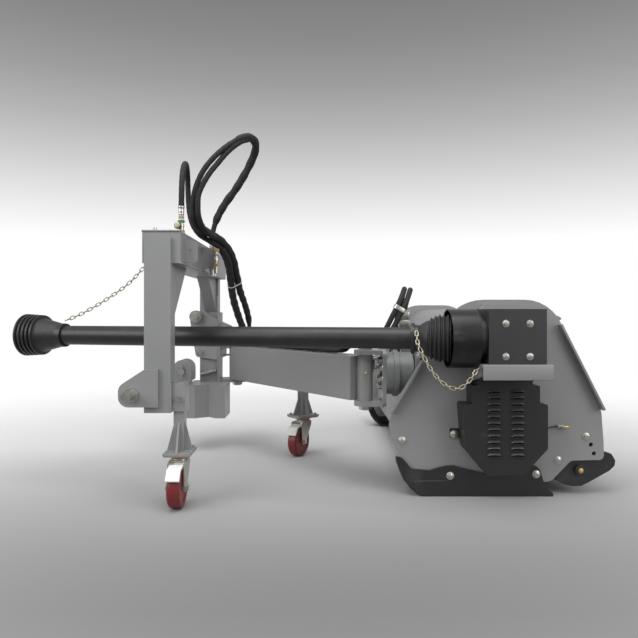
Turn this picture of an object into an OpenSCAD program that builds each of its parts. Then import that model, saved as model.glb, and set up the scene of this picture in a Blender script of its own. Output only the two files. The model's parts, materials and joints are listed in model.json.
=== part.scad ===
// Offset flail mower on a three-point hitch, with a side-shift arm and a tilting deck.
// +X points away from the tractor, +Y points outboard from the near end plate, +Z is up.
// X = 0 is the rotor axis, Y = 0 the outer face of the near end plate, Z = 0 the ground.

/* [Deck] */
// Width over the outer faces of the two end plates
deck_w = 1250; // [1100:10:1500]
// Thickness of each end plate
end_plate_t = 10; // [6:1:12]
// Height of the top of the end plates
deck_h = 640; // [620:5:660]
// Thickness of the hood sheet
hood_t = 5; // [3:1:8]
// Height of the rotor axis
rotor_z = 190; // [186:1:200]
// Radius of the rotor tube
rotor_r = 57; // [45:1:62]
// Radius of the rotor's stub shafts
stub_r = 20; // [16:1:24]
// Length of each flail from its pin
flail_len = 78; // [60:1:82]
// Number of flails in each row
flails_per_row = 6; // [4:1:8]
// Radius of the rear roller
roller_r = 50; // [40:1:52]
// Thickness of the skid plates
skid_t = 10; // [8:1:14]
// Width of each skid's sole
skid_w = 70; // [50:2:100]
// Thickness of the hinged rear door
door_t = 6; // [4:1:8]

/* [Drive] */
// Height of the gearbox input shaft
input_z = 517; // [510:1:520]
// Distance of the input shaft outside the near end plate
input_out = 105; // [103:1:115]
// Radius of the gearbox input shaft
input_r = 17.5; // [15:0.5:20]
// Pitch radius of the upper pulley
upper_pulley_r = 70; // [60:1:72]
// Pitch radius of the lower pulley
lower_pulley_r = 60; // [50:1:70]
// Number of drive belts
belt_count = 3; // [2:1:3]
// Width of one drive belt
belt_w = 12; // [9:0.5:12]
// Thickness of one drive belt
belt_t = 8; // [6:0.5:9]
// Wall of the sheet and plastic guards
guard_t = 4; // [3:0.5:5]
// Radius of the collar guard round the input shaft
collar_r = 91; // [88:1:94]

/* [Drive shaft] */
// Yaw of the drive shaft away from the direction of travel
pto_yaw = 13; // [9:0.5:15]
// Outer radius of the guard tubes
guard_tube_r = 34; // [30:1:36]
// Distance from the rear joint to the step between the guard tubes
pto_seam = 930; // [900:5:960]
// Distance from the rear joint to the front bell
pto_front = 1337; // [1310:5:1350]
// Radius of the front bell
bell_r = 76; // [70:1:80]
// Length of the front bell
bell_len = 166; // [150:1:180]

/* [Hitch frame] */
// Distance from the rotor axis to the front face of the legs
frame_reach = 1146; // [1130:2:1160]
// Width of a leg along the direction of travel
leg_w = 82; // [70:1:90]
// Thickness of a leg across the direction of travel
leg_t = 55; // [45:1:60]
// Wall of the legs and of the top beam
leg_wall = 8; // [5:1:10]
// Offset of the near leg's outer face from the near end plate
near_leg_out = 113; // [105:1:120]
// Clear width between the legs
leg_gap = 803; // [790:1:820]
// Height of the foot of the near leg
leg_foot = 288; // [285:1:292]
// Height of the top of the beam
beam_top = 851; // [840:1:870]
// Height of the top beam's section
beam_h = 100; // [90:1:104]
// Radius of the lower hitch pins, half of 28 mm
hitch_pin_r = 14; // [11:0.5:14]
// Free length of each lower hitch pin
hitch_pin_len = 60; // [55:1:72]
// Height of the lower hitch pins
hitch_z = 345; // [340:1:350]
// Height of the top link hole above the lower hitch pins
mast_height = 460; // [455:1:465]
// Radius of the top link hole
top_link_r = 9.75; // [9.5:0.25:13]

/* [Arm] */
// Height of the arm's box section
arm_h = 150; // [130:1:156]
// Width of the arm's box section
arm_w = 96; // [80:1:100]
// Height of the arm's underside
arm_z = 299; // [296:1:302]
// Radius of the pivot pins
pivot_r = 17; // [14:0.5:20]
// Thickness of the clevis plates
clevis_t = 15; // [10:1:16]
// Radius of the tilt motor's housing
tilt_motor_r = 72; // [66:1:74]
// Length of the tilt motor's housing
tilt_motor_len = 90; // [80:1:96]

/* [Parking stands] */
// Diameter of the castor wheels
castor_d = 125; // [115:1:130]
// Width of the castor wheels
castor_w = 40; // [30:1:42]
// Distance from a castor's swivel axis back to its axle
castor_trail = 38; // [30:1:42]
// Height of a castor from the ground to its plate
castor_h = 156; // [150:1:165]
// Side of the square stand tubes
stand_tube = 33; // [30:1:35]

/* [Clearances] */
// Radial clearance of pins and shafts in their bores
fit_gap = 0.05; // [0.03:0.01:0.1]
// Gap between faces of pieces that move past each other
run_gap = 0.5; // [0.3:0.1:1]

/* [Hidden] */
$fn = 48;
eps = 0.01;

frame_grey = "slategray";
deck_grey = "gray";
guard_black = [0.2, 0.2, 0.21];
skid_black = [0.16, 0.18, 0.19];
zinc = "gainsboro";
tyre_red = [0.4, 0.1, 0.13];

// Unit vector of v
function unit(v) = v / norm(v);

// Points of the arc that rounds corner b between a and c with radius r
function fillet(a, b, c, r, n = 6) =
  r <= 0 ? [b] :
  let (
    u = unit(a - b),
    v = unit(c - b),
    half = acos(u * v) / 2,
    reach = min(r / tan(half), norm(a - b) * 0.49, norm(c - b) * 0.49),
    rr = reach * tan(half),
    centre = b + unit(u + v) * rr / sin(half),
    s = b + u * reach - centre,
    e = b + v * reach - centre,
    a0 = atan2(s.y, s.x),
    sweep = (atan2(e.y, e.x) - a0 + 540) % 360 - 180
  ) [for (i = [0:n]) centre + rr * [cos(a0 + sweep * i / n), sin(a0 + sweep * i / n)]];

// Outline through corners [x, y, radius], each rounded by its radius
function outline(p) = [
  for (i = [0:len(p) - 1])
    let (k = len(p), a = p[(i + k - 1) % k], b = p[i], c = p[(i + 1) % k])
      each fillet([a.x, a.y], [b.x, b.y], [c.x, c.y], b.z)
];

// Plate in the XZ plane from y to y + t
module plate_xz(y, t) {
  translate([0, y + t, 0]) rotate([90, 0, 0]) linear_extrude(t) children();
}

// Plate in the YZ plane from x to x + t
module plate_yz(x, t) {
  translate([x, 0, 0]) rotate([90, 0, 90]) linear_extrude(t) children();
}

// Plate in the XY plane from z to z + t
module plate_xy(z, t) {
  translate([0, 0, z]) linear_extrude(t) children();
}

module rod_x(x0, x1, r, y = 0, z = 0) {
  translate([x0, y, z]) rotate([0, 90, 0]) cylinder(h = x1 - x0, r = r);
}

module rod_y(y0, y1, r, x = 0, z = 0) {
  translate([x, y0, z]) rotate([-90, 0, 0]) cylinder(h = y1 - y0, r = r);
}

module rod_z(z0, z1, r, x = 0, y = 0) {
  translate([x, y, z0]) cylinder(h = z1 - z0, r = r);
}

module box(low, high) {
  translate(low) cube(high - low);
}

// Hexagon bolt head with washer on the face z = 0, pointing to +Z
module bolt_head(r = 8) {
  cylinder(h = r * 0.3, r = r * 1.45);
  translate([0, 0, r * 0.3]) cylinder(h = r * 0.95, r = r * 1.05, $fn = 6);
}

// The same head pointing along -Y and along -X
module bolt_out_y(x, y, z, r = 8) {
  translate([x, y, z]) rotate([90, 0, 0]) bolt_head(r);
}

module bolt_out_x(x, y, z, r = 8) {
  translate([x, y, z]) rotate([0, -90, 0]) bolt_head(r);
}

// Points on a smooth curve through the list p, steps to a span
function spline_at(a, b, c, d, t) =
  0.5 * ((2 * b) + (c - a) * t + (2 * a - 5 * b + 4 * c - d) * t * t + (3 * b - a - 3 * c + d) * t * t * t);
function spline(p, steps) = [
  for (i = [0:len(p) - 2]) for (k = [0:steps - 1])
    let (
      a = i == 0 ? 2 * p[0] - p[1] : p[i - 1],
      d = i == len(p) - 2 ? 2 * p[i + 1] - p[i] : p[i + 2]
    ) spline_at(a, p[i], p[i + 1], d, k / steps),
  p[len(p) - 1],
];

// Directions along a path, with given first and last directions
function headings(q, first, last) = [
  for (i = [0:len(q) - 1])
    i == 0 ? first : i == len(q) - 1 ? last : unit(q[i + 1] - q[i - 1])
];

// Side directions carried along the path without twist
function carry(h, side, i = 0) =
  let (s = unit(side - (side * h[i]) * h[i]))
    i == len(h) - 1 ? [s] : concat([s], carry(h, s, i + 1));

// Tube of radius r along the path q
module swept_tube(q, r, sides, first, last, side = [1, 0, 0]) {
  h = headings(q, first, last);
  s = carry(h, side);
  n = len(q);
  rings = [
    for (i = [0:n - 1]) let (w = cross(h[i], s[i]))
      for (k = [0:sides - 1]) q[i] + r * (cos(360 * k / sides) * s[i] + sin(360 * k / sides) * w)
  ];
  walls = [
    for (i = [0:n - 2]) for (k = [0:sides - 1])
      let (a = i * sides + k, b = i * sides + (k + 1) % sides)
        each [[a, b + sides, b], [a, a + sides, b + sides]]
  ];
  ends = [
    for (k = [1:sides - 2]) each [[0, k, k + 1], [(n - 1) * sides, (n - 1) * sides + k + 1, (n - 1) * sides + k]]
  ];
  polyhedron(rings, concat(walls, ends), convexity = 10);
}

// Direction that halves the corner a-b-c, sized so that an offset of 1 stays square to both sides
function mitre(a, b, c) =
  let (u = unit(b - a), v = unit(c - b), m = unit([-u.y - v.y, u.x + v.x]))
    m / (m * [-u.y, u.x]);

// Bent sheet of thickness t on the left of the open path p
function sheet(p, t) = concat(p, [
  for (i = [len(p) - 1:-1:0])
    let (
      a = i == 0 ? 2 * p[0] - p[1] : p[i - 1],
      c = i == len(p) - 1 ? 2 * p[i] - p[i - 1] : p[i + 1]
    ) p[i] + t * mitre(a, p[i], c)
]);

// Hitch frame places
leg_x0 = -frame_reach;
leg_x1 = leg_x0 + leg_w;
near_leg_y = -near_leg_out;
near_leg_in = near_leg_y + leg_t;
far_leg_y = near_leg_in + leg_gap;
far_leg_out = far_leg_y + leg_t;
face_plate_t = 12;
beam_x0 = leg_x0 - 9;
beam_x1 = leg_x1 + 28;
beam_z = beam_top - beam_h;
leg_face_top = beam_top - 16;
ear_t = 12;
ear_x = leg_x0 - 34;
hitch_mid = 272;
top_link_x = beam_x0 - 35;
top_link_z = hitch_z + mast_height;
top_link_gap = 52;

// Arm places, seen from above
arm_base = [leg_x1 + 81, far_leg_y + 45];
arm_tip = [-449, 94];
arm_len = norm(arm_tip - arm_base);
arm_turn = atan2(arm_tip.y - arm_base.y, arm_tip.x - arm_base.x);
arm_top = arm_z + arm_h;
base_tube_r = pivot_r + 19;
tip_tube_r = pivot_r + 9;
link_offset = [25, 117];
link_z = arm_z + 116;
link_r = 15;
link_pin_r = 10;
link_eye_h = 27;
lug_t = 6;

// Tilt hub
hub_y = arm_tip.y;
hub_z = arm_z + 92;
hub_plate_t = 12;
hub_plate_x = -394;
motor_x = hub_plate_x + hub_plate_t;
motor_end = motor_x + tilt_motor_len;
spindle_r = 38;
hub_flange_x = motor_end + 6;

// Stand and castor places
socket_wall = 6;
socket_side = stand_tube + 2 * socket_wall;
near_stand_at = [leg_x1 + socket_side / 2, near_leg_in - socket_side / 2 - 3];
far_stand_at = [-675, 579];
socket_z0 = arm_z - 7;
socket_z1 = arm_z + 78;
stand_pin_z = arm_z + 32;
stand_pin_r = 5;
castor_plate_t = 4;
stand_plate_t = 8;
stand_plate = [84, 105];
castor_r = castor_d / 2;
axle_r = 6;
near_castor_turn = 0;
far_castor_turn = -27;

// Deck places
end_corners = [
  [-370, 180, 50], [-330, 122, 50], [-290, 45, 20], [150, 45, 30], [217, 114, 25], [325, 116, 16],
  [323, 180, 60], [316, 275, 40], [149, deck_h, 132], [-154, deck_h, 150], [-371, 262, 8], [-378, 228, 30],
];
hood_front = [-300, 130];
hood_knee = [-296, 262];
hood_top = deck_h - 25;
belt_y0 = -66;
pulley_w = 44;
input_y = -input_out;
gearbox_x = -17;
shelf_z = 433;
shelf_t = 10;
shelf_out = 180;
shelf_x0 = gearbox_x - 106;
shelf_x1 = gearbox_x + 101;
guard_x0 = gearbox_x - 86;
guard_x1 = gearbox_x + 86;
guard_top = 608;
input_flange_x = guard_x0 - 22;
collar_x0 = -211;
joint_x = -215;
yoke_r = 32;
roller_x = 247;
roller_z = 82;
roller_stub_r = 12;
roller_gap = 21;
pin_circle_r = rotor_r + 20;
flail_pin_r = 8;
flail_bore_r = flail_pin_r + 0.5;
flail_t = 8;
lug_w = 14;
row_count = 4;
flail_pitch = (deck_w - 130) / (flails_per_row * row_count - 1);
hinge_at = [184, 578];
hinge_r = 5;
knuckle_r = 9;

// Near leg with its corner gusset, lower link ear and stand socket
module leg_post(y0, face_y) {
  difference() {
    box([leg_x0, y0, leg_foot], [leg_x1, y0 + leg_t, beam_z]);
    box(
      [leg_x0 + leg_wall, y0 + leg_wall, leg_foot - 1],
      [leg_x1 - leg_wall, y0 + leg_t - leg_wall, beam_z - leg_wall]
    );
  }
  plate_xz(face_y, face_plate_t)
    polygon(outline([
      [leg_x0, beam_z - 60, 0], [leg_x1, beam_z - 60, 0], [leg_x1, leg_face_top, 10], [leg_x0, leg_face_top, 10],
    ]));
}

module leg_gusset(y, reach, drop) {
  plate_yz(leg_x0 + 26, leg_w - 34) polygon([[y, beam_z], [y + reach, beam_z], [y, beam_z - drop]]);
}

module stand_socket(at) {
  translate([at.x, at.y, 0]) difference() {
    box([-socket_side / 2, -socket_side / 2, socket_z0], [socket_side / 2, socket_side / 2, socket_z1]);
    box(
      [-stand_tube / 2 - 0.5, -stand_tube / 2 - 0.5, socket_z0 - 1],
      [stand_tube / 2 + 0.5, stand_tube / 2 + 0.5, socket_z1 + 1]
    );
    rod_y(-socket_side, socket_side, stand_pin_r + 0.5, 0, stand_pin_z);
  }
}

module near_leg() {
  color(frame_grey) {
    leg_post(near_leg_y, near_leg_y);
    leg_gusset(near_leg_in, 198, 190);
    stand_socket(near_stand_at);
    difference() {
      plate_xz(near_leg_y - ear_t, ear_t)
        polygon(outline([
          [leg_x0 + 46, hitch_z - 38, 0], [leg_x0 + 46, hitch_z + 78, 0], [leg_x0 + 4, hitch_z + 78, 12],
          [ear_x - 42, hitch_z + 26, 30], [ear_x - 42, hitch_z - 38, 34],
        ]));
      rod_y(near_leg_y - ear_t - 1, near_leg_y, hitch_pin_r + fit_gap, ear_x, hitch_z);
    }
  }
}

module far_leg() {
  color(frame_grey) {
    leg_post(far_leg_y, far_leg_out - face_plate_t);
    leg_gusset(far_leg_y - ear_t, -186, 140);
    box([leg_x0 + 24, far_leg_y - ear_t, beam_z - 142], [leg_x1, far_leg_y, beam_z - 76]);
  }
}

// Top beam with the two top link lugs and the lug on its rear side
module top_beam() {
  beam_y0 = near_leg_y + face_plate_t;
  beam_y1 = far_leg_out - face_plate_t;
  color(frame_grey) {
    difference() {
      box([beam_x0, beam_y0, beam_z], [beam_x1, beam_y1, beam_top]);
      box(
        [beam_x0 + leg_wall, beam_y0 + leg_wall, beam_z + leg_wall],
        [beam_x1 - leg_wall, beam_y1 - leg_wall, beam_top - leg_wall]
      );
    }
    for (side = [-1, 1]) {
      y = hitch_mid + side * (top_link_gap + ear_t) / 2 - ear_t / 2;
      difference() {
        plate_xz(y, ear_t)
          polygon(outline([
            [beam_x0, top_link_z - 42, 0], [beam_x0, top_link_z + 40, 0], [top_link_x - 25, top_link_z + 28, 24],
            [top_link_x - 25, top_link_z - 28, 24],
          ]));
        rod_y(y - 1, y + ear_t + 1, top_link_r, top_link_x, top_link_z);
      }
    }
    difference() {
      plate_xz(near_leg_in + 2, ear_t)
        polygon(outline([
          [beam_x1, beam_z + 6, 0], [beam_x1 + 42, beam_z + 6, 6], [beam_x1 + 42, beam_z + 72, 6],
          [beam_x1, beam_z + 82, 0],
        ]));
      rod_y(near_leg_in, near_leg_in + ear_t + 4, 6, beam_x1 + 22, beam_z + 42);
    }
  }
}

// Bracket on the far leg that carries the arm's pivot and the tie rod's pivot
module pivot_carrier() {
  back_t = 10;
  boss = [leg_x0 - 13, 581];
  color(frame_grey) difference() {
    union() {
      box([leg_x1, far_leg_y - ear_t, arm_z - clevis_t - run_gap], [leg_x1 + back_t, far_leg_out + 10, beam_z - 150]);
      for (z = [arm_z - clevis_t - run_gap, arm_top + run_gap])
        plate_xy(z, clevis_t)
          polygon(outline([
            [leg_x1, arm_base.y - 50, 0], [arm_base.x + 44, arm_base.y - 44, 42],
            [arm_base.x + 44, arm_base.y + 44, 42], [leg_x1, arm_base.y + 50, 0],
          ]));
      plate_xz(far_leg_y - ear_t, ear_t)
        polygon(outline([
          [leg_x1 + back_t, arm_top + run_gap, 0], [arm_base.x, arm_top + run_gap, 0],
          [arm_base.x, 500, 12], [arm_base.x - 18, 540, 10], [leg_x1 - 21, 577, 10], [leg_x0 + 24, 606, 16],
          [boss.x - 28, boss.y + 26, 26], [boss.x - 28, boss.y - 24, 20], [leg_x0 - 16, 400, 18], [leg_x1, 386, 0],
          [leg_x1, arm_top + run_gap, 0],
        ]));
      rod_y(far_leg_y - 34, far_leg_y - ear_t + 1, 28, boss.x, boss.y);
      box(
        [leg_x1, far_leg_out, link_z - 24],
        [leg_x1 + back_t, arm_base.y + link_offset.y + 24, link_z + 24]
      );
      link_lugs([leg_x1, arm_base.y + link_offset.y], arm_base + link_offset);
    }
    rod_z(arm_z - 2 * clevis_t, arm_top + 2 * clevis_t, pivot_r + fit_gap, arm_base.x, arm_base.y);
    rod_z(link_z - 50, link_z + 50, link_pin_r + fit_gap, arm_base.x + link_offset.x, arm_base.y + link_offset.y);
    rod_y(far_leg_y - 40, far_leg_y + 1, 12, boss.x, boss.y);
  }
}

// Pair of lugs above and below the tie rod's eye at the point b, from the wall at a
module link_lugs(a, b) {
  for (z = [link_z - link_eye_h / 2 - run_gap - lug_t, link_z + link_eye_h / 2 + run_gap])
    plate_xy(z, lug_t)
      polygon(outline([
        [min(a.x, b.x - 22), b.y - 22, a.x < b.x ? 0 : 20], [max(a.x, b.x + 22), b.y - 22, a.x < b.x ? 20 : 0],
        [max(a.x, b.x + 22), b.y + 22, a.x < b.x ? 20 : 0], [min(a.x, b.x - 22), b.y + 22, a.x < b.x ? 0 : 20],
      ]));
}

// Folded bracket at the foot of the far leg with the clevis of the far lower link
far_link_x = leg_x0 - 53;
far_clevis_y = 625;
clevis_gap = 70;
module far_link_bracket() {
  fold = [
    [leg_x0 - 37, far_leg_y], [leg_x0 - 37, far_leg_y - 145], [leg_x0 + 6, far_leg_y - 145],
    [leg_x0 + 60, far_leg_y - 112], [leg_x0 + 96, far_leg_y - 145], [leg_x0 + 136, far_leg_y - 145],
    [leg_x0 + 136, far_leg_y],
  ];
  color(frame_grey) difference() {
    union() {
      plate_xy(leg_foot - 142, 137) polygon(sheet(fold, 10));
      plate_xy(leg_foot - 9, 9)
        polygon([
          fold[0] + [0, leg_t], fold[0], fold[1], fold[2], fold[3], fold[4], fold[5],
          fold[6] - [0, ear_t + 0.3], [leg_x1, far_leg_y - ear_t - 0.3], [leg_x1, far_leg_out],
        ]);
      for (y = [far_clevis_y, far_clevis_y + ear_t + clevis_gap])
        plate_xz(y, ear_t)
          polygon(outline([
            [leg_x0 - 30, hitch_z - 100, 0], [leg_x0 - 30, hitch_z - 50, 0], [far_link_x + 39, hitch_z - 40, 8],
            [far_link_x + 39, hitch_z + 49, 38], [far_link_x - 39, hitch_z + 49, 38],
            [far_link_x - 39, hitch_z - 60, 20],
          ]));
    }
    rod_y(far_clevis_y - 1, far_clevis_y + 2 * ear_t + clevis_gap + 1, hitch_pin_r + fit_gap, far_link_x, hitch_z);
  }
}

module near_hitch_pin() {
  y1 = near_leg_y - ear_t;
  color(zinc) difference() {
    union() {
      rod_y(y1 - hitch_pin_len, near_leg_y, hitch_pin_r, ear_x, hitch_z);
      rod_y(y1 - 7, y1, hitch_pin_r + 8, ear_x, hitch_z);
    }
    rod_z(hitch_z - 30, hitch_z + 30, 5.5, ear_x, y1 - hitch_pin_len + 12);
  }
}

module far_hitch_pin() {
  y1 = far_clevis_y + 2 * ear_t + clevis_gap;
  color(zinc) difference() {
    union() {
      rod_y(far_clevis_y - 22, y1, hitch_pin_r, far_link_x, hitch_z);
      rod_y(y1, y1 + 8, hitch_pin_r + 7, far_link_x, hitch_z);
    }
    rod_z(hitch_z - 30, hitch_z + 30, 5.5, far_link_x, far_clevis_y - 14);
  }
}

// Lynch pin, near stand pin, breakaway bolt with washer, lock pin and the bolt on the beam
module frame_pins() {
  boss = [leg_x0 - 13, 581];
  color(zinc) {
    rod_z(hitch_z - 26, hitch_z + 20, 5, far_link_x, far_clevis_y - 14);
    rod_z(hitch_z + 20, hitch_z + 28, 9, far_link_x, far_clevis_y - 14);
    translate([near_stand_at.x, near_stand_at.y, 0]) stand_pin();
    rod_y(far_leg_y - 34, far_leg_y - ear_t, 11.9, boss.x, boss.y);
    rod_y(far_leg_y - 38, far_leg_y - 34, 24, boss.x, boss.y);
    bolt_out_y(boss.x, far_leg_y - 38, boss.y, 13);
    rod_y(far_leg_y - ear_t - 14, far_leg_y - ear_t, 9, leg_x0 + 7, 423);
    rod_z(beam_top, beam_top + 12, 6, leg_x0 + 26, near_leg_y + 30);
  }
}

module stand_pin() {
  rod_y(-socket_side / 2 - 8, socket_side / 2 + 14, stand_pin_r, 0, stand_pin_z);
  rod_y(-socket_side / 2 - 14, -socket_side / 2 - 8, stand_pin_r + 4, 0, stand_pin_z);
}

// Zinc extension spring beside the far leg
spring_coils = 16;
spring_r = 8;
spring_wire = 1.3;
module latch_spring() {
  x0 = leg_x0 + 4;
  x1 = leg_x1 - 6;
  y = far_leg_y - 11;
  z0 = 320;
  steps = 8;
  coil = [
    for (i = [0:spring_coils * steps])
      let (a = 360 * i / steps, s = i / (spring_coils * steps))
        [x0 + (x1 - x0) * s, y + spring_r * cos(a), z0 + 18 * s + spring_r * sin(a)]
  ];
  echo(spring_gap = (x1 - x0) / spring_coils - 2 * spring_wire);
  path = concat([[x0 - 4, far_leg_y - 1.5, z0]], coil, [[x1 + 4, far_leg_y - 1.5, z0 + 18]]);
  color(zinc) swept_tube(path, spring_wire, 6, [1, 0, 0], [1, 0, 0], [0, 0, 1]);
}

// Parking stand with its four gussets and base plate, centred on its tube
module stand(plate) {
  z0 = castor_h + castor_plate_t;
  z1 = z0 + stand_plate_t;
  difference() {
    union() {
      box([-stand_tube / 2, -stand_tube / 2, z1], [stand_tube / 2, stand_tube / 2, socket_z1 + 6]);
      box([-plate.x / 2, -plate.y / 2, z0], [plate.x / 2, plate.y / 2, z1]);
      box([-plate.x / 2 + 2, -plate.y / 2 + 2, castor_h], [plate.x / 2 - 2, plate.y / 2 - 2, z0]);
      for (side = [0, 180]) rotate([0, 0, side]) {
        plate_xz(-3, 6) polygon([[stand_tube / 2 - 1, z1], [plate.x / 2 - 2, z1], [stand_tube / 2 - 1, z1 + 92]]);
        plate_yz(-3, 6) polygon([[stand_tube / 2 - 1, z1], [plate.y / 2 - 2, z1], [stand_tube / 2 - 1, z1 + 92]]);
      }
    }
    box([-stand_tube / 2 + 3, -stand_tube / 2 + 3, z1 + 3], [stand_tube / 2 - 3, stand_tube / 2 - 3, socket_z1 + 7]);
    rod_y(-socket_side, socket_side, stand_pin_r + 0.1, 0, stand_pin_z);
    rod_z(castor_h - 1, z1 + 4, axle_r + fit_gap, 0, 0);
  }
  for (x = [-1, 1]) for (y = [-1, 1])
    translate([x * (plate.x / 2 - 11), y * (plate.y / 2 - 11), z1]) bolt_head(5);
}

module near_stand() {
  color(frame_grey) translate([near_stand_at.x, near_stand_at.y, 0]) stand(stand_plate);
}

module far_stand() {
  color(frame_grey) beside_arm() stand([stand_plate.y, stand_plate.x]);
}

module far_stand_pin() {
  color(zinc) beside_arm() stand_pin();
}

// Fork of a castor with its plate, turned by a about its swivel axis, trailing towards -Y
module castor_fork(at, a) {
  gap = castor_w / 2 + 3;
  translate([at.x, at.y, 0]) rotate([0, 0, a]) {
    rod_z(castor_h - 14, castor_h - run_gap, 27);
    rod_z(castor_h - 6, castor_h + castor_plate_t + stand_plate_t - 1, axle_r);
    box([-gap - 3, -34, castor_h - 20], [gap + 3, 26, castor_h - 14]);
    for (side = [-1, 1])
      plate_yz(side * (gap + 1.5) - 1.5, 3)
        polygon(outline([
          [-castor_trail - 13, castor_r - 13, 12], [-castor_trail + 13, castor_r - 13, 12],
          [26, castor_h - 30, 6], [26, castor_h - 14, 0], [-56, castor_h - 14, 3], [-58, castor_h - 34, 8],
        ]));
    rod_x(-gap - 12, gap + 12, axle_r, -castor_trail, castor_r);
    for (side = [-1, 1])
      translate([side * (gap + 7.5), -castor_trail, castor_r]) rotate([0, 90, 0]) cylinder(h = 9, r = 10, center = true, $fn = 6);
  }
}

// Castor wheel with a rounded tread and a dished core
module castor_wheel(at, a) {
  tread = [
    [axle_r + fit_gap, -castor_w / 2 + 4], [castor_r - 18, -castor_w / 2 + 4], [castor_r - 15, -castor_w / 2],
    [castor_r - 6, -castor_w / 2], [castor_r - 1, -castor_w / 2 + 5], [castor_r, -castor_w / 2 + 12],
    [castor_r, castor_w / 2 - 12], [castor_r - 1, castor_w / 2 - 5], [castor_r - 6, castor_w / 2],
    [castor_r - 15, castor_w / 2], [castor_r - 18, castor_w / 2 - 4], [axle_r + fit_gap, castor_w / 2 - 4],
  ];
  translate([at.x, at.y, 0]) rotate([0, 0, a])
    translate([0, -castor_trail, castor_r]) rotate([0, 90, 0]) rotate_extrude($fn = 64) polygon(tread);
}

// Brake pedal over the trailing side of a castor
module castor_pedal(at, a) {
  w = castor_w / 2 + 1;
  translate([at.x, at.y, 0]) rotate([0, 0, a]) {
    plate_yz(-w, 2 * w)
      polygon(outline([
        [-50, castor_h - 23, 2], [-84, castor_h - 29, 6], [-106, castor_h - 58, 3], [-100, castor_h - 62, 2],
        [-81, castor_h - 35, 4], [-50, castor_h - 29, 2],
      ]));
    rod_x(-w - 1.6, w + 1.6, 3.5, -47, castor_h - 26);
  }
}

module near_castor_fork() {
  color(zinc) castor_fork(near_stand_at, near_castor_turn);
}

module far_castor_fork() {
  color(zinc) castor_fork(far_stand_at, far_castor_turn);
}

module near_castor_wheel() {
  color(tyre_red) castor_wheel(near_stand_at, near_castor_turn);
}

module far_castor_wheel() {
  color(tyre_red) castor_wheel(far_stand_at, far_castor_turn);
}

module near_castor_pedal() {
  color("white") castor_pedal(near_stand_at, near_castor_turn);
}

module far_castor_pedal() {
  color("white") castor_pedal(far_stand_at, far_castor_turn);
}

// Arm, drawn along its own length from its base pivot
module along_arm() {
  translate([arm_base.x, arm_base.y, 0]) rotate([0, 0, arm_turn]) children();
}

module main_arm() {
  out = 116 - arm_w / 2;
  color(frame_grey) {
    along_arm() difference() {
      union() {
        box([20, -arm_w / 2, arm_z], [arm_len - 22, arm_w / 2, arm_top]);
        rod_z(arm_z, arm_top, base_tube_r, 0, 0);
        rod_z(arm_z, arm_top + 6, tip_tube_r, arm_len, 0);
        box([arm_len - 30, -18, arm_z], [arm_len - 8, 18, arm_top]);
      }
      box([50, -arm_w / 2 + leg_wall, arm_z + leg_wall], [arm_len - 50, arm_w / 2 - leg_wall, arm_top - leg_wall]);
      rod_z(arm_z - 1, arm_top + 1, pivot_r + fit_gap, 0, 0);
      rod_z(arm_z - 1, arm_top + 7, pivot_r + fit_gap, arm_len, 0);
    }
    beside_arm() {
      stand_socket([0, 0]);
      box([-out, -socket_side / 2, socket_z0], [-socket_side / 2, socket_side / 2, socket_z1]);
    }
  }
}

// Place of the far stand, turned square to the arm
module beside_arm() {
  translate([far_stand_at.x, far_stand_at.y, 0]) rotate([0, 0, arm_turn + 90]) children();
}

module tie_rod() {
  a = arm_base + link_offset;
  color(frame_grey) translate([a.x, a.y, link_z]) rotate([0, 0, arm_turn]) difference() {
    union() {
      rod_x(12, arm_len - 12, link_r - 3, 0, 0);
      for (u = [0, arm_len]) rod_z(-link_eye_h / 2, link_eye_h / 2, link_r + 4, u, 0);
    }
    for (u = [0, arm_len]) rod_z(-link_eye_h, link_eye_h, link_pin_r + fit_gap, u, 0);
  }
}

// Pivot pins of the arm and of the tie rod at the frame
module arm_pivot_pins() {
  a = arm_base + link_offset;
  color(zinc) {
    pivot_pin(arm_base, arm_z - run_gap - clevis_t, arm_top + run_gap + clevis_t, pivot_r);
    pivot_pin(a, link_z - link_eye_h / 2 - run_gap - lug_t, link_z + link_eye_h / 2 + run_gap + lug_t, link_pin_r);
  }
}

module pivot_pin(at, z0, z1, r) {
  rod_z(z0 - 16, z1, r, at.x, at.y);
  rod_z(z1, z1 + 8, r + 6, at.x, at.y);
  translate([at.x, at.y, z0 - 14]) cylinder(h = 14, r = r + 5, $fn = 6);
}

// Clevis on the arm's end with the tilt motor's flange plate
carrier_z0 = arm_z - run_gap;
carrier_z1 = arm_top + 6 + run_gap;
module hub_carrier() {
  x1 = hub_plate_x + hub_plate_t;
  b = arm_tip + link_offset;
  color(frame_grey) difference() {
    union() {
      for (z = [carrier_z0 - 17, carrier_z1])
        plate_xy(z, z < carrier_z1 ? 17 : clevis_t)
          polygon(outline([
            [arm_tip.x - 38, arm_tip.y - 38, 36], [hub_plate_x, arm_tip.y - 46, 0],
            [hub_plate_x, arm_tip.y + 46, 0], [arm_tip.x - 38, arm_tip.y + 38, 36],
          ]));
      plate_yz(hub_plate_x, hub_plate_t)
        polygon(outline([
          [hub_y - 56, carrier_z0 - 17, 18], [hub_y + 56, carrier_z0 - 17, 18], [hub_y + 56, link_z - 26, 0],
          [b.y + 24, link_z - 26, 8], [b.y + 24, link_z + 26, 8], [hub_y + 56, link_z + 26, 0],
          [hub_y + 56, carrier_z1 + clevis_t, 18], [hub_y - 56, carrier_z1 + clevis_t, 18],
        ]));
      link_lugs([hub_plate_x, b.y], b);
    }
    rod_z(arm_z - 40, carrier_z1 + 2 * clevis_t, pivot_r + fit_gap, arm_tip.x, arm_tip.y);
    rod_z(link_z - 50, link_z + 50, link_pin_r + fit_gap, b.x, b.y);
    rod_x(hub_plate_x - 1, x1 + 1, spindle_r - 6, hub_y, hub_z);
  }
}

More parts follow.
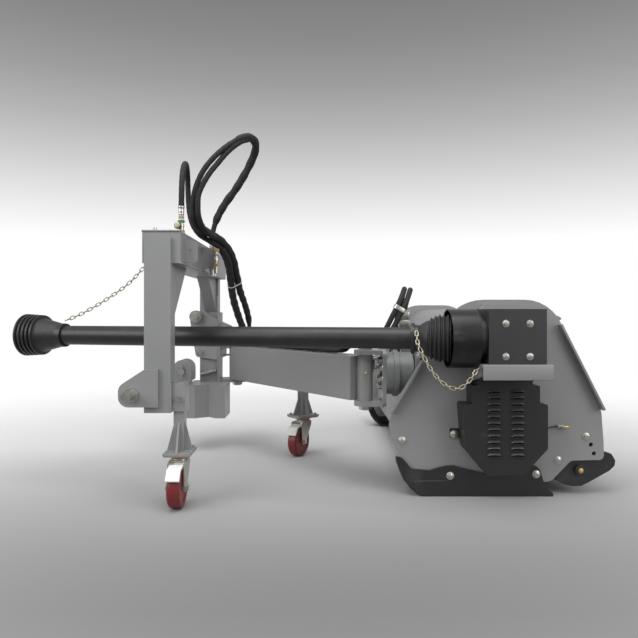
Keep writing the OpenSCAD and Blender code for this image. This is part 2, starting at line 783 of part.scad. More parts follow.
// Arm end pin, tie rod pin and the ring of flange bolts
hub_bolt_ring = 47;
hub_bolts = 8;
module hub_pins() {
  b = arm_tip + link_offset;
  color(zinc) {
    pivot_pin(arm_tip, carrier_z0 - 17, carrier_z1 + clevis_t, pivot_r);
    pivot_pin(b, link_z - link_eye_h / 2 - run_gap - lug_t, link_z + link_eye_h / 2 + run_gap + lug_t, link_pin_r);
    for (i = [0:hub_bolts - 1]) {
      a = 360 * (i + 0.5) / hub_bolts;
      bolt_out_x(hub_plate_x, hub_y + hub_bolt_ring * cos(a), hub_z + hub_bolt_ring * sin(a), 9);
    }
  }
}

// Rotary tilt motor with its bolted ring and the hose port block on top
clip_x = [-329, -295];
clip_z = [548, 603];
module tilt_motor() {
  color(frame_grey) difference() {
    union() {
      rod_x(motor_x, motor_end, tilt_motor_r, hub_y, hub_z);
      rod_x(motor_x + 26, motor_x + 42, tilt_motor_r + 7, hub_y, hub_z);
      box([clip_x[0] + 6, hub_y + 18, hub_z + tilt_motor_r - 14], [motor_end, hub_y + 28, clip_z[0] + 6]);
      box([clip_x[0], hub_y + 14, clip_z[0]], [clip_x[1], hub_y + 44, clip_z[1]]);
      for (x = [-10.5, 10.5]) rod_y(hub_y + 60, hub_y + 98, 10.4, -337 + x, 406);
    }
    rod_x(motor_x - 1, motor_end + 1, spindle_r + fit_gap, hub_y, hub_z);
  }
}

// Bracket on the hood that turns on the tilt motor
function hood_x(z) = hood_knee.x + (z - hood_knee.y) * (202 / 353);
module hub_bracket() {
  z1 = hub_z + 89;
  z0 = hood_knee.y + (hub_flange_x + 12 - hood_knee.x) * (353 / 202);
  color(deck_grey) {
    difference() {
      rod_x(motor_x + 8, hub_flange_x, spindle_r, hub_y, hub_z);
      rod_x(motor_x + 7, hub_flange_x + 1, 14, hub_y, hub_z);
    }
    plate_yz(hub_flange_x, 12)
      polygon(outline([
        [hub_y - 76, z0 + 2, 6], [hub_y + 76, z0 + 2, 6], [hub_y + 76, z1 - 10, 30], [hub_y - 76, z1 - 10, 30],
      ]));
    for (y = [hub_y - 66, hub_y + 58])
      plate_xz(y, 8) polygon([[hub_flange_x + 11, z0], [hood_x(z1), z1], [hub_flange_x + 11, z1 - 34]]);
  }
}

// End plates, with the bores of the rotor, the roller, the bolts and the door's hinge pin
near_bolts = [[-336, 181], [-167, 201], [-181, 68], [99, 73], [174, 116], [266, 194]];
near_holes = [[282, 166], [292, 137]];
module end_plate(y, t) {
  difference() {
    plate_xz(y, t) polygon(outline(end_corners));
    rod_y(y - 1, y + t + 1, 42, 0, rotor_z);
    rod_y(y - 1, y + t + 1, roller_stub_r + 4, roller_x, roller_z);
    for (p = near_holes) rod_y(y - 1, y + t + 1, 7, p.x, p.y);
  }
}

module near_end_plate() {
  color(deck_grey) {
    end_plate(0, end_plate_t);
    difference() {
      box([shelf_x0, -shelf_out, shelf_z], [shelf_x1, 0, shelf_z + shelf_t]);
      box([gearbox_x - 84, belt_y0 - 4, shelf_z - 1], [gearbox_x + 82, -20, shelf_z + shelf_t + 1]);
    }
    for (x = [shelf_x0 + 2, shelf_x1 - 12])
      plate_yz(x, 10)
        polygon(outline([
          [0, shelf_z, 0], [0, shelf_z - 58, 0], [-22, shelf_z - 58, 8], [-shelf_out + 12, shelf_z - 26, 8],
          [-shelf_out + 12, shelf_z, 0],
        ]));
    plate_xz(-20, 20)
      polygon(outline([
        [shelf_x0 + 19, shelf_z + shelf_t, 0], [shelf_x1 - 26, shelf_z + shelf_t, 0], [gearbox_x + 88, 609, 4],
        [gearbox_x + 51, 628, 8], [gearbox_x - 49, 628, 8], [gearbox_x - 91, 587, 4],
      ]));
  }
}

module far_end_plate() {
  color(deck_grey) end_plate(deck_w - end_plate_t, end_plate_t);
}

// Bent hood sheet between the end plates
module hood() {
  run = [
    [150, 590, 4], [135, deck_h - 25, 60], [-94, deck_h - 25, 115], [hood_knee.x, hood_knee.y, 20],
    [hood_front.x, hood_front.y, 0],
  ];
  outer = outline(concat(run, [[hood_front.x + hood_t, hood_front.y, 0], [hood_knee.x + hood_t, hood_knee.y - 2, 16],
    [-94 + 3, deck_h - 25 - hood_t, 110], [135 - 4, deck_h - 25 - hood_t, 55], [150 - 5, 590, 2]]));
  color(deck_grey) {
    plate_xz(end_plate_t, deck_w - 2 * end_plate_t) polygon(outer);
    box([hood_front.x + 1, end_plate_t, hood_front.y - 6], [hood_front.x + 19, deck_w - end_plate_t, hood_front.y + 6]);
    box([126, end_plate_t, 560], [150, deck_w - end_plate_t, 591]);
    rod_y(end_plate_t, deck_w - end_plate_t, hinge_r, hinge_at.x, hinge_at.y);
    for (i = [0:5]) {
      y = end_plate_t + 20 + i * (deck_w - 2 * end_plate_t - 80) / 5;
      rod_y(y, y + 40, knuckle_r, hinge_at.x, hinge_at.y);
      box([140, y, 572], [hinge_at.x, y + 40, 580]);
    }
  }
}

// Rear door with its own hinge knuckles between those of the hood
door_end = [322, 272];
module rear_door() {
  pitch = (deck_w - 2 * end_plate_t - 80) / 5;
  gap = 3;
  turn = unit(door_end - hinge_at);
  n = [-turn.y, turn.x];
  start = hinge_at - 3 * n;
  color(deck_grey) difference() {
    union() {
      plate_xz(end_plate_t + 3, deck_w - 2 * end_plate_t - 6)
        polygon([start + 16 * turn, door_end, door_end - door_t * n, start + 16 * turn - door_t * n]);
      plate_xz(end_plate_t + 3, deck_w - 2 * end_plate_t - 6)
        polygon([door_end, door_end - 22 * n - 4 * turn, door_end - 22 * n - 10 * turn, door_end - door_t * turn]);
      for (i = [0:4]) {
        y = end_plate_t + 60 + i * pitch + gap;
        rod_y(y, y + pitch - 40 - 2 * gap, knuckle_r, hinge_at.x, hinge_at.y);
        plate_xz(y, pitch - 40 - 2 * gap)
          polygon([hinge_at + 4 * n, start + 20 * turn + 6 * n, start + 20 * turn - door_t * n, hinge_at - 8 * n]);
      }
    }
    rod_y(0, deck_w, hinge_r + fit_gap, hinge_at.x, hinge_at.y);
  }
}

// Right angle gearbox with its input flange and output boss
module gearbox() {
  color(guard_black) difference() {
    union() {
      box([guard_x0 + 8, -160, shelf_z + shelf_t], [guard_x1 - 16, -78, input_z + 62]);
      rod_x(guard_x0 - 1, guard_x0 + 9, 46, input_y, input_z);
      rod_x(input_flange_x, guard_x0 - 0.5, 68, input_y, input_z);
      rod_y(-79, -68, 44, gearbox_x, input_z);
    }
    rod_x(input_flange_x - 1, gearbox_x + 1, input_r + fit_gap, input_y, input_z);
    rod_y(-130, -60, 18 + fit_gap, gearbox_x, input_z);
  }
}

// Sheet guard over the gearbox and the upper pulley
module gearbox_guard() {
  t = guard_t;
  z0 = shelf_z + shelf_t;
  color(guard_black) difference() {
    box([guard_x0, -shelf_out, z0], [guard_x1, -20, guard_top]);
    box([guard_x0 + t, -shelf_out + t, z0 - 1], [guard_x1 - t, -19, guard_top - t]);
    rod_x(guard_x0 - 1, guard_x0 + t + 1, 47, input_y, input_z);
  }
}

// Belt guard with two columns of louvres
louvre_rows = 11;
module belt_guard() {
  t = guard_t;
  y0 = -72;
  low = [
    [66, shelf_z, 0], [66, 368, 0], [89, 368, 6], [89, 309, 0], [114, 309, 8], [114, 168, 12], [41, 89, 12],
    [-74, 82, 12], [-147, 168, 12], [-157, 309, 8], [-125, 309, 0], [-125, 368, 6], [-107, 368, 0],
    [-107, shelf_z, 0],
  ];
  color(guard_black) {
    difference() {
      plate_xz(y0, -y0) polygon(outline(low));
      plate_xz(y0 + t, -y0) polygon([
        [62, shelf_z + 1], [62, 364], [85, 364], [85, 305], [110, 305], [110, 170], [39, 93], [-72, 86], [-143, 170],
        [-152, 305], [-121, 305], [-121, 364], [-103, 364], [-103, shelf_z + 1],
      ]);
      for (x = [-56, 18]) for (i = [0:louvre_rows - 1])
        box([x - 19, y0 - 1, 142 + 20 * i], [x + 19, y0 + t + 1, 145 + 20 * i]);
    }
    for (x = [-56, 18]) for (i = [0:louvre_rows - 1])
      plate_yz(x - 19, 38)
        polygon([[y0 + 1, 149 + 20 * i], [y0 - 7, 144.5 + 20 * i], [y0 - 7, 142.5 + 20 * i], [y0 + 1, 147 + 20 * i]]);
    plate_xz(-4, 4) polygon([[-180, 190], [-150, 190], [-150, 220], [-180, 220]]);
  }
}

module deck_bolts() {
  color(zinc) {
    for (p = near_bolts) bolt_out_y(p.x, p.y < 80 ? -skid_flange : p.x == -167 ? -4 : 0, p.y, 8);
    for (x = [-16, 59]) for (z = [459, 565]) bolt_out_y(x, -shelf_out, z, 6);
    for (p = near_bolts)
      if (p.x != -167) translate([0, deck_w, 0]) mirror([0, 1, 0])
        bolt_out_y(p.x, p.y < 80 ? -skid_flange : 0, p.y, 8);
    rod_y(-14, -3, 9, roller_x, roller_z);
    rod_y(-3, end_plate_t, 16.5, roller_x, roller_z);
  }
}

// Skid: bent sole with its bolted flange outside the end plate
skid_flange = 12;
module skid() {
  color(skid_black) {
    plate_xz(-skid_flange, skid_flange)
      polygon(outline([
        [-350, 99, 0], [-334, 56, 30], [-311, 27, 30], [-279, 0, 30], [154, 0, 0], [154, 8, 0], [131, 30, 10],
        [121, 53, 20], [112, 86, 10], [99, 100, 12], [79, 99, 12], [47, 86, 20], [-64, 74, 40], [-116, 86, 20],
        [-165, 99, 12], [-191, 99, 14], [-213, 94, 12], [-246, 84, 20], [-305, 89, 20], [-337, 125, 10],
        [-360, 131, 4],
      ]));
    plate_xz(-skid_flange, skid_flange + skid_w)
      polygon(concat(
        [for (p = outline([[-349, 98, 0], [-334, 56, 30], [-311, 27, 30], [-279, 0, 30], [154, 0, 0]])) p],
        [[154, skid_t], [-276, skid_t], [-302, 35], [-324, 61], [-340, 101]]
      ));
  }
}

module near_skid() {
  skid();
}

module far_skid() {
  translate([0, deck_w, 0]) mirror([0, 1, 0]) skid();
}

// Black brackets inside the end plates that carry the rear roller
module roller_bracket() {
  difference() {
    plate_xz(end_plate_t, 12)
      polygon(outline([
        [158, 104, 10], [172, 45, 12], [199, 32, 20], [228, 27, 20], [255, 28, 20], [288, 45, 30], [347, 78, 20],
        [364, 94, 10], [367, 111, 10], [354, 134, 12], [300, 150, 40], [284, 208, 16], [250, 208, 16],
        [190, 136, 30], [162, 130, 12],
      ]));
    rod_y(end_plate_t - 1, end_plate_t + 13, roller_stub_r + fit_gap, roller_x, roller_z);
  }
}

module roller_brackets() {
  color(guard_black) {
    roller_bracket();
    translate([0, deck_w, 0]) mirror([0, 1, 0]) roller_bracket();
  }
}

module rear_roller() {
  color(zinc) {
    rod_y(end_plate_t + roller_gap, deck_w - end_plate_t - roller_gap, roller_r, roller_x, roller_z);
    rod_y(end_plate_t + 0.5, deck_w - end_plate_t - 0.5, roller_stub_r, roller_x, roller_z);
  }
}

// Belts round both pulleys
belt_pitch = pulley_w / belt_count;
groove = belt_t + 2;
module belt_line(grow) {
  hull() {
    translate([gearbox_x, input_z]) circle(r = upper_pulley_r + grow);
    translate([0, rotor_z]) circle(r = lower_pulley_r + grow);
  }
}

module drive_belts() {
  color(skid_black)
    for (i = [0:belt_count - 1])
      plate_xz(belt_y0 + (i + 0.5) * belt_pitch - belt_w / 2, belt_w) difference() {
        belt_line(belt_t + 0.5 - groove);
        belt_line(0.5 - groove);
      }
}

module pulley(r, bore, at) {
  difference() {
    rod_y(belt_y0, belt_y0 + pulley_w, r, at.x, at.y);
    for (i = [0:belt_count - 1]) {
      y = belt_y0 + (i + 0.5) * belt_pitch;
      difference() {
        rod_y(y - belt_w / 2 - 0.5, y + belt_w / 2 + 0.5, r + 1, at.x, at.y);
        rod_y(y - belt_w, y + belt_w, r - groove, at.x, at.y);
      }
    }
    rod_y(belt_y0 - 1, belt_y0 + 10, r - 24, at.x, at.y);
    if (bore > 0) rod_y(belt_y0 - 2, belt_y0 + pulley_w + 1, bore, at.x, at.y);
  }
}

// Upper pulley on the gearbox's output shaft
module upper_pulley() {
  color(zinc) {
    pulley(upper_pulley_r, 0, [gearbox_x, input_z]);
    rod_y(-128, belt_y0 + 12, 18, gearbox_x, input_z);
  }
}

module lower_pulley() {
  color(zinc) {
    pulley(lower_pulley_r, stub_r, [0, rotor_z]);
    rod_y(belt_y0 + 1, belt_y0 + 10, stub_r + 12, 0, rotor_z);
  }
}

module rotor_bearings() {
  color(guard_black) {
    rotor_bearing();
    translate([0, deck_w, 0]) mirror([0, 1, 0]) {
      rotor_bearing();
      rod_y(-10, 0, 50, 0, rotor_z);
    }
  }
}

module rotor_bearing() {
  difference() {
    union() {
      rod_y(-8, end_plate_t + 12, 42 - 0.02, 0, rotor_z);
      rod_y(end_plate_t, end_plate_t + 12, 60, 0, rotor_z);
    }
    rod_y(-9, end_plate_t + 13, stub_r + fit_gap, 0, rotor_z);
  }
}

// Flail places: row i takes every fourth place along the rotor
function flail_y(i, k) = 65 + flail_pitch * (row_count * k + i);

module rotor() {
  tube_y0 = end_plate_t + 18;
  color(guard_black) {
    rod_y(tube_y0, deck_w - tube_y0, rotor_r, 0, rotor_z);
    rod_y(-stub_out, deck_w - 2, stub_r, 0, rotor_z);
    for (i = [0:row_count - 1]) about_rotor(45 + 90 * i) for (k = [0:flails_per_row - 1]) {
      y = flail_y(i, k);
      for (side = [-1, 1])
        plate_xz(y + side * (flail_t / 2 + 1 + 4) - 4, 8)
          polygon(outline([
            [rotor_r - 6, -lug_w, 0], [pin_circle_r + lug_w, -lug_w, lug_w - 1],
            [pin_circle_r + lug_w, lug_w, lug_w - 1], [rotor_r - 6, lug_w, 0],
          ]));
      rod_y(y - flail_t / 2 - 13, y + flail_t / 2 + 13, flail_pin_r, pin_circle_r, 0);
    }
  }
}
stub_out = 56;

// Frame with its X axis pointing out from the rotor's axis
module about_rotor(a) {
  translate([0, 0, rotor_z]) rotate([0, -a, 0]) children();
}

// One row of hammer flails, hanging on its own pins
module flail_row(i) {
  tip = pin_circle_r + flail_len;
  color(zinc) about_rotor(45 + 90 * i) for (k = [0:flails_per_row - 1]) {
    y = flail_y(i, k);
    difference() {
      union() {
        plate_xz(y - flail_t / 2, flail_t)
          polygon(outline([
            [pin_circle_r - 15, -14, 13], [tip - 8, -14, 0], [tip - 8, 14, 0], [pin_circle_r - 15, 14, 13],
          ]));
        plate_xz(y - 24, 48)
          polygon([[tip - 24, -8], [tip - 4, -15], [tip, -15], [tip, 8], [tip - 6, 10], [tip - 24, 8]]);
      }
      rod_y(y - flail_t, y + flail_t, flail_bore_r, pin_circle_r, 0);
    }
  }
}

module flail_row_1() {
  flail_row(0);
}

module flail_row_2() {
  flail_row(1);
}

module flail_row_3() {
  flail_row(2);
}

module flail_row_4() {
  flail_row(3);
}

// Cup round the rear universal joint
module input_collar() {
  color(guard_black) difference() {
    rod_x(collar_x0, input_flange_x, collar_r, input_y, input_z);
    rod_x(collar_x0 - 1, input_flange_x - 5, collar_r - guard_t, input_y, input_z);
    rod_x(collar_x0, input_flange_x + 1, 30, input_y, input_z);
  }
}

// Gearbox input shaft with its yoke and the joint's cross
module input_shaft() {
  color(zinc) {
    rod_x(joint_x + 26, gearbox_x - 20, input_r, input_y, input_z);
    difference() {
      rod_x(joint_x - 13, joint_x + 46, yoke_r - 6, input_y, input_z);
      box([joint_x - 14, input_y - 16, input_z - 40], [joint_x + 24, input_y + 16, input_z + 40]);
    }
    rod_y(input_y - 17, input_y + 17, 8, joint_x, input_z);
    rod_z(input_z - 28, input_z + 28, 5, joint_x, input_y);
  }
}

// Frame of the drive shaft: X forward along the shaft from the rear joint
module along_shaft() {
  translate([joint_x, input_y, input_z]) rotate([0, 0, 180 - pto_yaw]) children();
}

// Solid of revolution about the shaft from a list of [place, radius]
module turned(p) {
  rotate([0, 90, 0]) rotate_extrude($fn = 48) polygon([for (q = p) [q.y, q.x]]);
}

front_tube_r = guard_tube_r - 3;
front_tail = pto_seam - 370;
module pto_rear_guard() {
  color(guard_black) along_shaft() turned([
    [82, 23 + fit_gap], [82, guard_tube_r + 8], [95, guard_tube_r + 8], [95, 48], [106, 48], [106, guard_tube_r],
    [pto_seam, guard_tube_r], [pto_seam, front_tube_r + fit_gap], [100, front_tube_r + fit_gap],
    [100, 23 + fit_gap],
  ]);
}

// Ribbed rubber bell at the rear end of the shaft guard
module rear_bell() {
  rib = [
    [82, 26], [82, 39], [72, 42], [66, 48], [58, 47], [54, 56], [46, 55], [42, 64], [34, 62], [30, 70], [24, 66],
    [18, 71], [12, 67], [6, 71], [-3, 70],
  ];
  inner = [
    [-3, 66.5], [6, 67], [12, 64], [18, 67], [24, 63], [30, 66], [34, 59], [42, 60], [46, 52], [54, 52], [58, 44],
    [66, 44], [72, 38], [78, 36], [78, 26],
  ];
  color(guard_black) along_shaft() turned(concat(rib, inner));
}

// Rear half of the telescopic shaft
shaft_r = 16;
module pto_rear_shaft() {
  color(zinc) along_shaft() {
    rod_x(34, pto_seam + 290, shaft_r);
    rod_x(34, 104, 23);
    difference() {
      rod_x(-12, 36, yoke_r + 4);
      rod_x(-13, 26, yoke_r - 3);
      for (side = [0, 180]) rotate([side, 0, 0]) box([-13, 13, -50], [26, 50, 50]);
    }
  }
}

// Front half: guard tube with its ribbed bell, and the outer shaft in it
module pto_front_guard() {
  r0 = front_tube_r - 3;
  bell = [
    [pto_seam + 1, front_tube_r], [pto_seam + 1, guard_tube_r], [pto_front, guard_tube_r], [pto_front, 42],
    [pto_front + 20, 43], [pto_front + 88, 60],
  ];
  ribs = [
    for (i = [0:4]) each [
      [pto_front + 90 + 15.2 * i, 62 + i], [pto_front + 93 + 15.2 * i, bell_r - 4 + i],
      [pto_front + 99 + 15.2 * i, bell_r - 4 + i], [pto_front + 102 + 15.2 * i, 62 + i],
    ],
  ];
  inner = [
    [pto_front + bell_len, 66], [pto_front + bell_len, 60], [pto_front + 88, 56], [pto_front + 22, 39],
    [pto_front + 6, 37], [pto_front + 6, 23 + fit_gap], [pto_front - 8, 23 + fit_gap], [pto_front - 8, r0],
    [front_tail, r0], [front_tail, front_tube_r],
  ];
  color(guard_black) along_shaft() turned(concat(bell, ribs, inner));
}

module pto_front_shaft() {
  color(zinc) along_shaft() difference() {
    union() {
      rod_x(front_tail + 60, pto_front + 110, 23);
      rod_x(pto_front + 108, pto_front + bell_len + 12, yoke_r + 2);
    }
    rod_x(front_tail + 59, pto_front + 90, shaft_r + fit_gap);
    box([pto_front + 136, -40, -19], [pto_front + bell_len + 13, 40, 19]);
  }
}

// Places at equal steps along a path
function run_of(p) = [
  for (i = 0, s = 0; i < len(p); s = s + (i < len(p) - 1 ? norm(p[i + 1] - p[i]) : 0), i = i + 1) s
];
function place(p, a, s) = [for (k = [0:2]) lookup(s, [for (i = [0:len(p) - 1]) [a[i], p[i][k]]])];

// Closed oval link of a chain, its length along X, lying in the XY plane
link_wire = 2.3;
link_width = 6.8;
module chain_link(pitch) {
  half = pitch / 2 + 0.5 - link_width + link_wire;
  path = [
    for (i = [0:9]) let (a = -90 + 180 * (i % 5) / 4, e = i < 5 ? 1 : -1)
      [e * (half + link_width * cos(a)), e * link_width * sin(a), 0]
  ];
  n = len(path);
  rings = [
    for (i = [0:n - 1])
      let (h = unit(path[(i + 1) % n] - path[(i + n - 1) % n]), s = [-h.y, h.x, 0])
        for (k = [0:5]) path[i] + link_wire * (cos(60 * k) * s + sin(60 * k) * [0, 0, 1])
  ];
  faces = [
    for (i = [0:n - 1]) for (k = [0:5])
      let (a = i * 6 + k, b = i * 6 + (k + 1) % 6, c = (a + 6) % (n * 6), d = (b + 6) % (n * 6))
        each [[a, b, d], [a, d, c]]
  ];
  polyhedron(rings, faces);
}

// Chain along a path, each link turned a quarter from the last
module chain(p, size) {
  q = spline(p, 6);
  a = run_of(q);
  total = a[len(a) - 1];
  n = round(total / size);
  pitch = total / n;
  for (i = [0:n - 1]) {
    b = place(q, a, i * pitch);
    c = place(q, a, (i + 1) * pitch);
    h = unit(c - b);
    translate((b + c) / 2) rotate([0, 0, atan2(h.y, h.x)]) rotate([0, -asin(h.z), 0])
      rotate([90 * (i % 2), 0, 0]) chain_link(pitch);
  }
}

front_chain_path = [
  [-1520, 198, 570], [-1470, 206, 592], [-1400, 218, 634], [-1310, 232, 700], [-1250, 239, 765], [-1221, 240, 803],
];
rear_chain_path = [
  [-311, -137, 540], [-311, -158, 506], [-306, -174, 488], [-286, -186, 444], [-259, -186, 406],
  [-240, -190, 388], [-215, -190, 374], [-190, -190, 374], [-168, -188, 390], [-150, -182, 412],
  [-138, -174, 427], [-128.8, -168.9, 432.8],
];
module front_chain() {
  color(zinc) chain(front_chain_path, 24);
}

module rear_chain() {
  color(zinc) chain(rear_chain_path, 20);
}

// Couplings on the beam and on the hose bracket
coupling_a = [-1050, -30];
coupling_b = [-1000, 244];
coupling_c = [-998, 280];
hose_shelf_z = 800;
module quick_couplers() {
  color(zinc) {
    rod_z(beam_top, beam_top + 18, 14, coupling_a.x, coupling_a.y);
    rod_z(beam_top, beam_top + 60, 10, coupling_a.x, coupling_a.y);
    rod_z(beam_top + 58, beam_top + 89, 13, coupling_a.x, coupling_a.y);
    for (c = [coupling_b, coupling_c]) {
      rod_z(hose_shelf_z - 62, hose_shelf_z + 66, 10, c.x, c.y);
      rod_z(hose_shelf_z + 8, hose_shelf_z + 24, 14, c.x, c.y);
      rod_z(hose_shelf_z - 40, hose_shelf_z - 12, 13, c.x, c.y);
    }
    rod_z(hose_shelf_z + 64, hose_shelf_z + 83, 13, coupling_b.x, coupling_b.y);
    rod_z(hose_shelf_z + 40, hose_shelf_z + 66, 13, coupling_c.x, coupling_c.y);
  }
}

module hose_bracket() {
  color(frame_grey) difference() {
    union() {
      plate_xz(222, 6)
        polygon(outline([[beam_x1, 749, 0], [-978, 776, 8], [-978, 832, 8], [beam_x1, 836, 0]]));
      box([beam_x1, 226, hose_shelf_z], [-980, 298, hose_shelf_z + 8]);
    }
    for (c = [coupling_b, coupling_c]) rod_z(hose_shelf_z - 1, hose_shelf_z + 9, 10 + fit_gap, c.x, c.y);
  }
}

// Hydraulic hoses
hose_r = 9.5;
hose_sides = 8;
boot_r = 24;
boot_z = 511;
hose_apart = 11;
frame_hose_a = [
  [coupling_a.x, coupling_a.y, beam_top + 89], [-1049, -30, 985], [-1049, -23, 1030], [-1050, -2, 1069],
  [-1052, 34, 1093], [-1056, 74, 1091], [-1060, 106, 1067], [-1062, 121, 1030], [-1061, 125, 985],
  [-1057, 126, 942], [-1046, 129, 902], [-1024, 137, 870], [-994, 158, 851], [-966, 216, 832],
  [-951, 290, 794], [-953, 380, 734], [-957, 480, 658], [-952, 590, 588], [-946, 660, 546],
  [-946, 712, 521], [-957, 747, 512], [-981, 772, boot_z],
];
frame_hose_b = [
  [coupling_b.x, coupling_b.y, hose_shelf_z + 83], [-991, 244, 920], [-976, 244, 958], [-949, 242, 1003],
  [-915, 238, 1048], [-884, 234, 1096], [-857, 225, 1143], [-838, 204, 1180], [-834, 170, 1202],
  [-847, 133, 1209], [-869, 103, 1200], [-897, 81, 1180], [-931, 64, 1150], [-963, 53, 1116], [-991, 46, 1078],
  [-1012, 42, 1034], [-1024, 42, 994], [-1029, 46, 958], [-1030, 57, 922], [-1023, 84, 897], [-1006, 119, 883],
  [-984, 162, 872], [-956, 225, 852], [-936, 300, 812], [-932, 380, 758], [-930, 480, 690], [-922, 560, 641],
  [-917, 640, 591], [-918, 700, 552], [-925, 745, 523], [-942, 773, 512], [-965, 788, boot_z],
];
module hose(p, first, last, steps) {
  swept_tube(spline(p, steps), hose_r, hose_sides, first, last, [0.3, 1, 0.1]);
}

module frame_hoses() {
  color(skid_black) {
    hose(frame_hose_a, [0, 0, 1], unit([-1, 1, 0]), 2);
    hose(frame_hose_b, [0, 0, 1], unit([-1, 1, 0]), 2);
    rod_z(500, 522, boot_r, arm_base.x, arm_base.y);
  }
}

function arm_hose(n) = [
  [15, n, 489], [60, n, 488], [110, n, 474], [150, n, 462], [400, n, 461], [arm_len - 140, n, 462],
  [arm_len - 100, n, 477], [arm_len - 55, n, 489.5], [arm_len - 14, n, 489.5],
];
module arm_hoses() {
  color(skid_black) along_arm() {
    for (n = [-hose_apart, hose_apart]) hose(arm_hose(n), [1, 0, 0], [1, 0, 0], 3);
    rod_z(479, 500 - run_gap, boot_r, 0, 0);
    rod_z(479.5, 500 - run_gap, boot_r, arm_len, 0);
  }
}

hub_hose_line = [
  [-430, 94, 511], [-412, 94, 512], [-392, 94, 518], [-373, 94, 532], [-358, 94, 557], [-344, 94, 585],
  [-331, 95, 610], [-319, 102, 634], [-308, 118, 656], [-299, 142, 673], [-293, 170, 680], [-291, 198, 674],
  [-293, 222, 656], [-298, 238, 630], [-304, 245, 600], [-311, 246, 563], [-318, 246, 523], [-325, 245, 483],
  [-331, 235, 446], [-335, 213, 417], [-337, 192, 406],
];
hub_hose_side = [
  [0, 11, 0], [0, 10.5, 2], [-2.5, 9, 5], [-6, 5, 7], [-8.5, 1, 6], [-8.9, 0, 5.6], [-8.9, 0, 5.6],
  [-9.1, 0, 5.2], [-9.5, 0, 4.4], [-10, 0, 3], [-10.4, 0, 1.5],
];
function hub_hose(s) = [
  for (i = [0:len(hub_hose_line) - 1]) hub_hose_line[i] + s * (i < 11 ? hub_hose_side[i] : [-10.5, 0, 0])
];
module hub_hoses() {
  color(skid_black) {
    for (s = [-1, 1]) hose(hub_hose(s), [1, 0, 0], [0, -1, 0], 1);
    rod_z(500, 522, boot_r, arm_tip.x, arm_tip.y);
  }
}

near_leg();
far_leg();
top_beam();
pivot_carrier();
far_link_bracket();
near_hitch_pin();
far_hitch_pin();
frame_pins();
latch_spring();
near_stand();
hose_bracket();
quick_couplers();
frame_hoses();
arm_pivot_pins();
main_arm();
far_stand();
far_stand_pin();
arm_hoses();
tie_rod();
hub_carrier();
hub_pins();
tilt_motor();
hub_hoses();
near_end_plate();
far_end_plate();
hood();
hub_bracket();
gearbox();
gearbox_guard();
belt_guard();
deck_bolts();
near_skid();
far_skid();
roller_brackets();
drive_belts();
rotor_bearings();
input_collar();
rear_bell();
far_castor_pedal();
rear_door();
rotor();
lower_pulley();
flail_row_1();
flail_row_2();
flail_row_3();
flail_row_4();
upper_pulley();
input_shaft();
rear_roller();
pto_rear_guard();
pto_front_guard();
pto_rear_shaft();
pto_front_shaft();
front_chain();
rear_chain();
near_castor_fork();
near_castor_wheel();
near_castor_pedal();
far_castor_fork();
far_castor_wheel();
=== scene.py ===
import json
import math
import bpy
import bmesh
from mathutils import Matrix, Vector

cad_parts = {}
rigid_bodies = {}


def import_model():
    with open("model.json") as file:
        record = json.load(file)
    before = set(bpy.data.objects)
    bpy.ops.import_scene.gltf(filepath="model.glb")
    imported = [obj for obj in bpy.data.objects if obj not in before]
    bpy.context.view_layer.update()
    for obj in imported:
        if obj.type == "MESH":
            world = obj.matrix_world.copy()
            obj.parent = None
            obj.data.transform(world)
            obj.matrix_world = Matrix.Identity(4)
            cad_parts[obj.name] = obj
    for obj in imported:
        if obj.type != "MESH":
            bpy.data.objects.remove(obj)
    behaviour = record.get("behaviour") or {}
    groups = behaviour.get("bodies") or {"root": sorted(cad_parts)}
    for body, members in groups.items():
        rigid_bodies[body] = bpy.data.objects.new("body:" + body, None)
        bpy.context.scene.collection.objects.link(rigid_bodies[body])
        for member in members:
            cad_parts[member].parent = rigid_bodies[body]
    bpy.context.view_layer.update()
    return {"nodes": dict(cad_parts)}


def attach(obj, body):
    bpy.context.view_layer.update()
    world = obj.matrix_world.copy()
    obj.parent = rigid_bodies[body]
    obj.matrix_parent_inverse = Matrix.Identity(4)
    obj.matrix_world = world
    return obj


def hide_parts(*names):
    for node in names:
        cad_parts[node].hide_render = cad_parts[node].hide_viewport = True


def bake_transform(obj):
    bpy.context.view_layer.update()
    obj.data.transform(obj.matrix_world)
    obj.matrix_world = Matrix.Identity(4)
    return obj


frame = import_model()
nodes = frame["nodes"]
scene = bpy.context.scene


# Camera, from the photograph's horizon and the size of one millimetre on the near side
cameraSettings = {"place": (-0.607, -1.935, 0.593), "lens": 33.4, "sensor": 36.0, "shiftY": -0.0078}

camera = bpy.data.objects.new("camera", bpy.data.cameras.new("camera"))
scene.collection.objects.link(camera)
camera.location = cameraSettings["place"]
camera.rotation_euler = (math.pi / 2, 0, 0)
camera.data.lens = cameraSettings["lens"]
camera.data.sensor_width = cameraSettings["sensor"]
camera.data.shift_y = cameraSettings["shiftY"]
camera.data.clip_end = 60
scene.camera = camera
print("camera set")


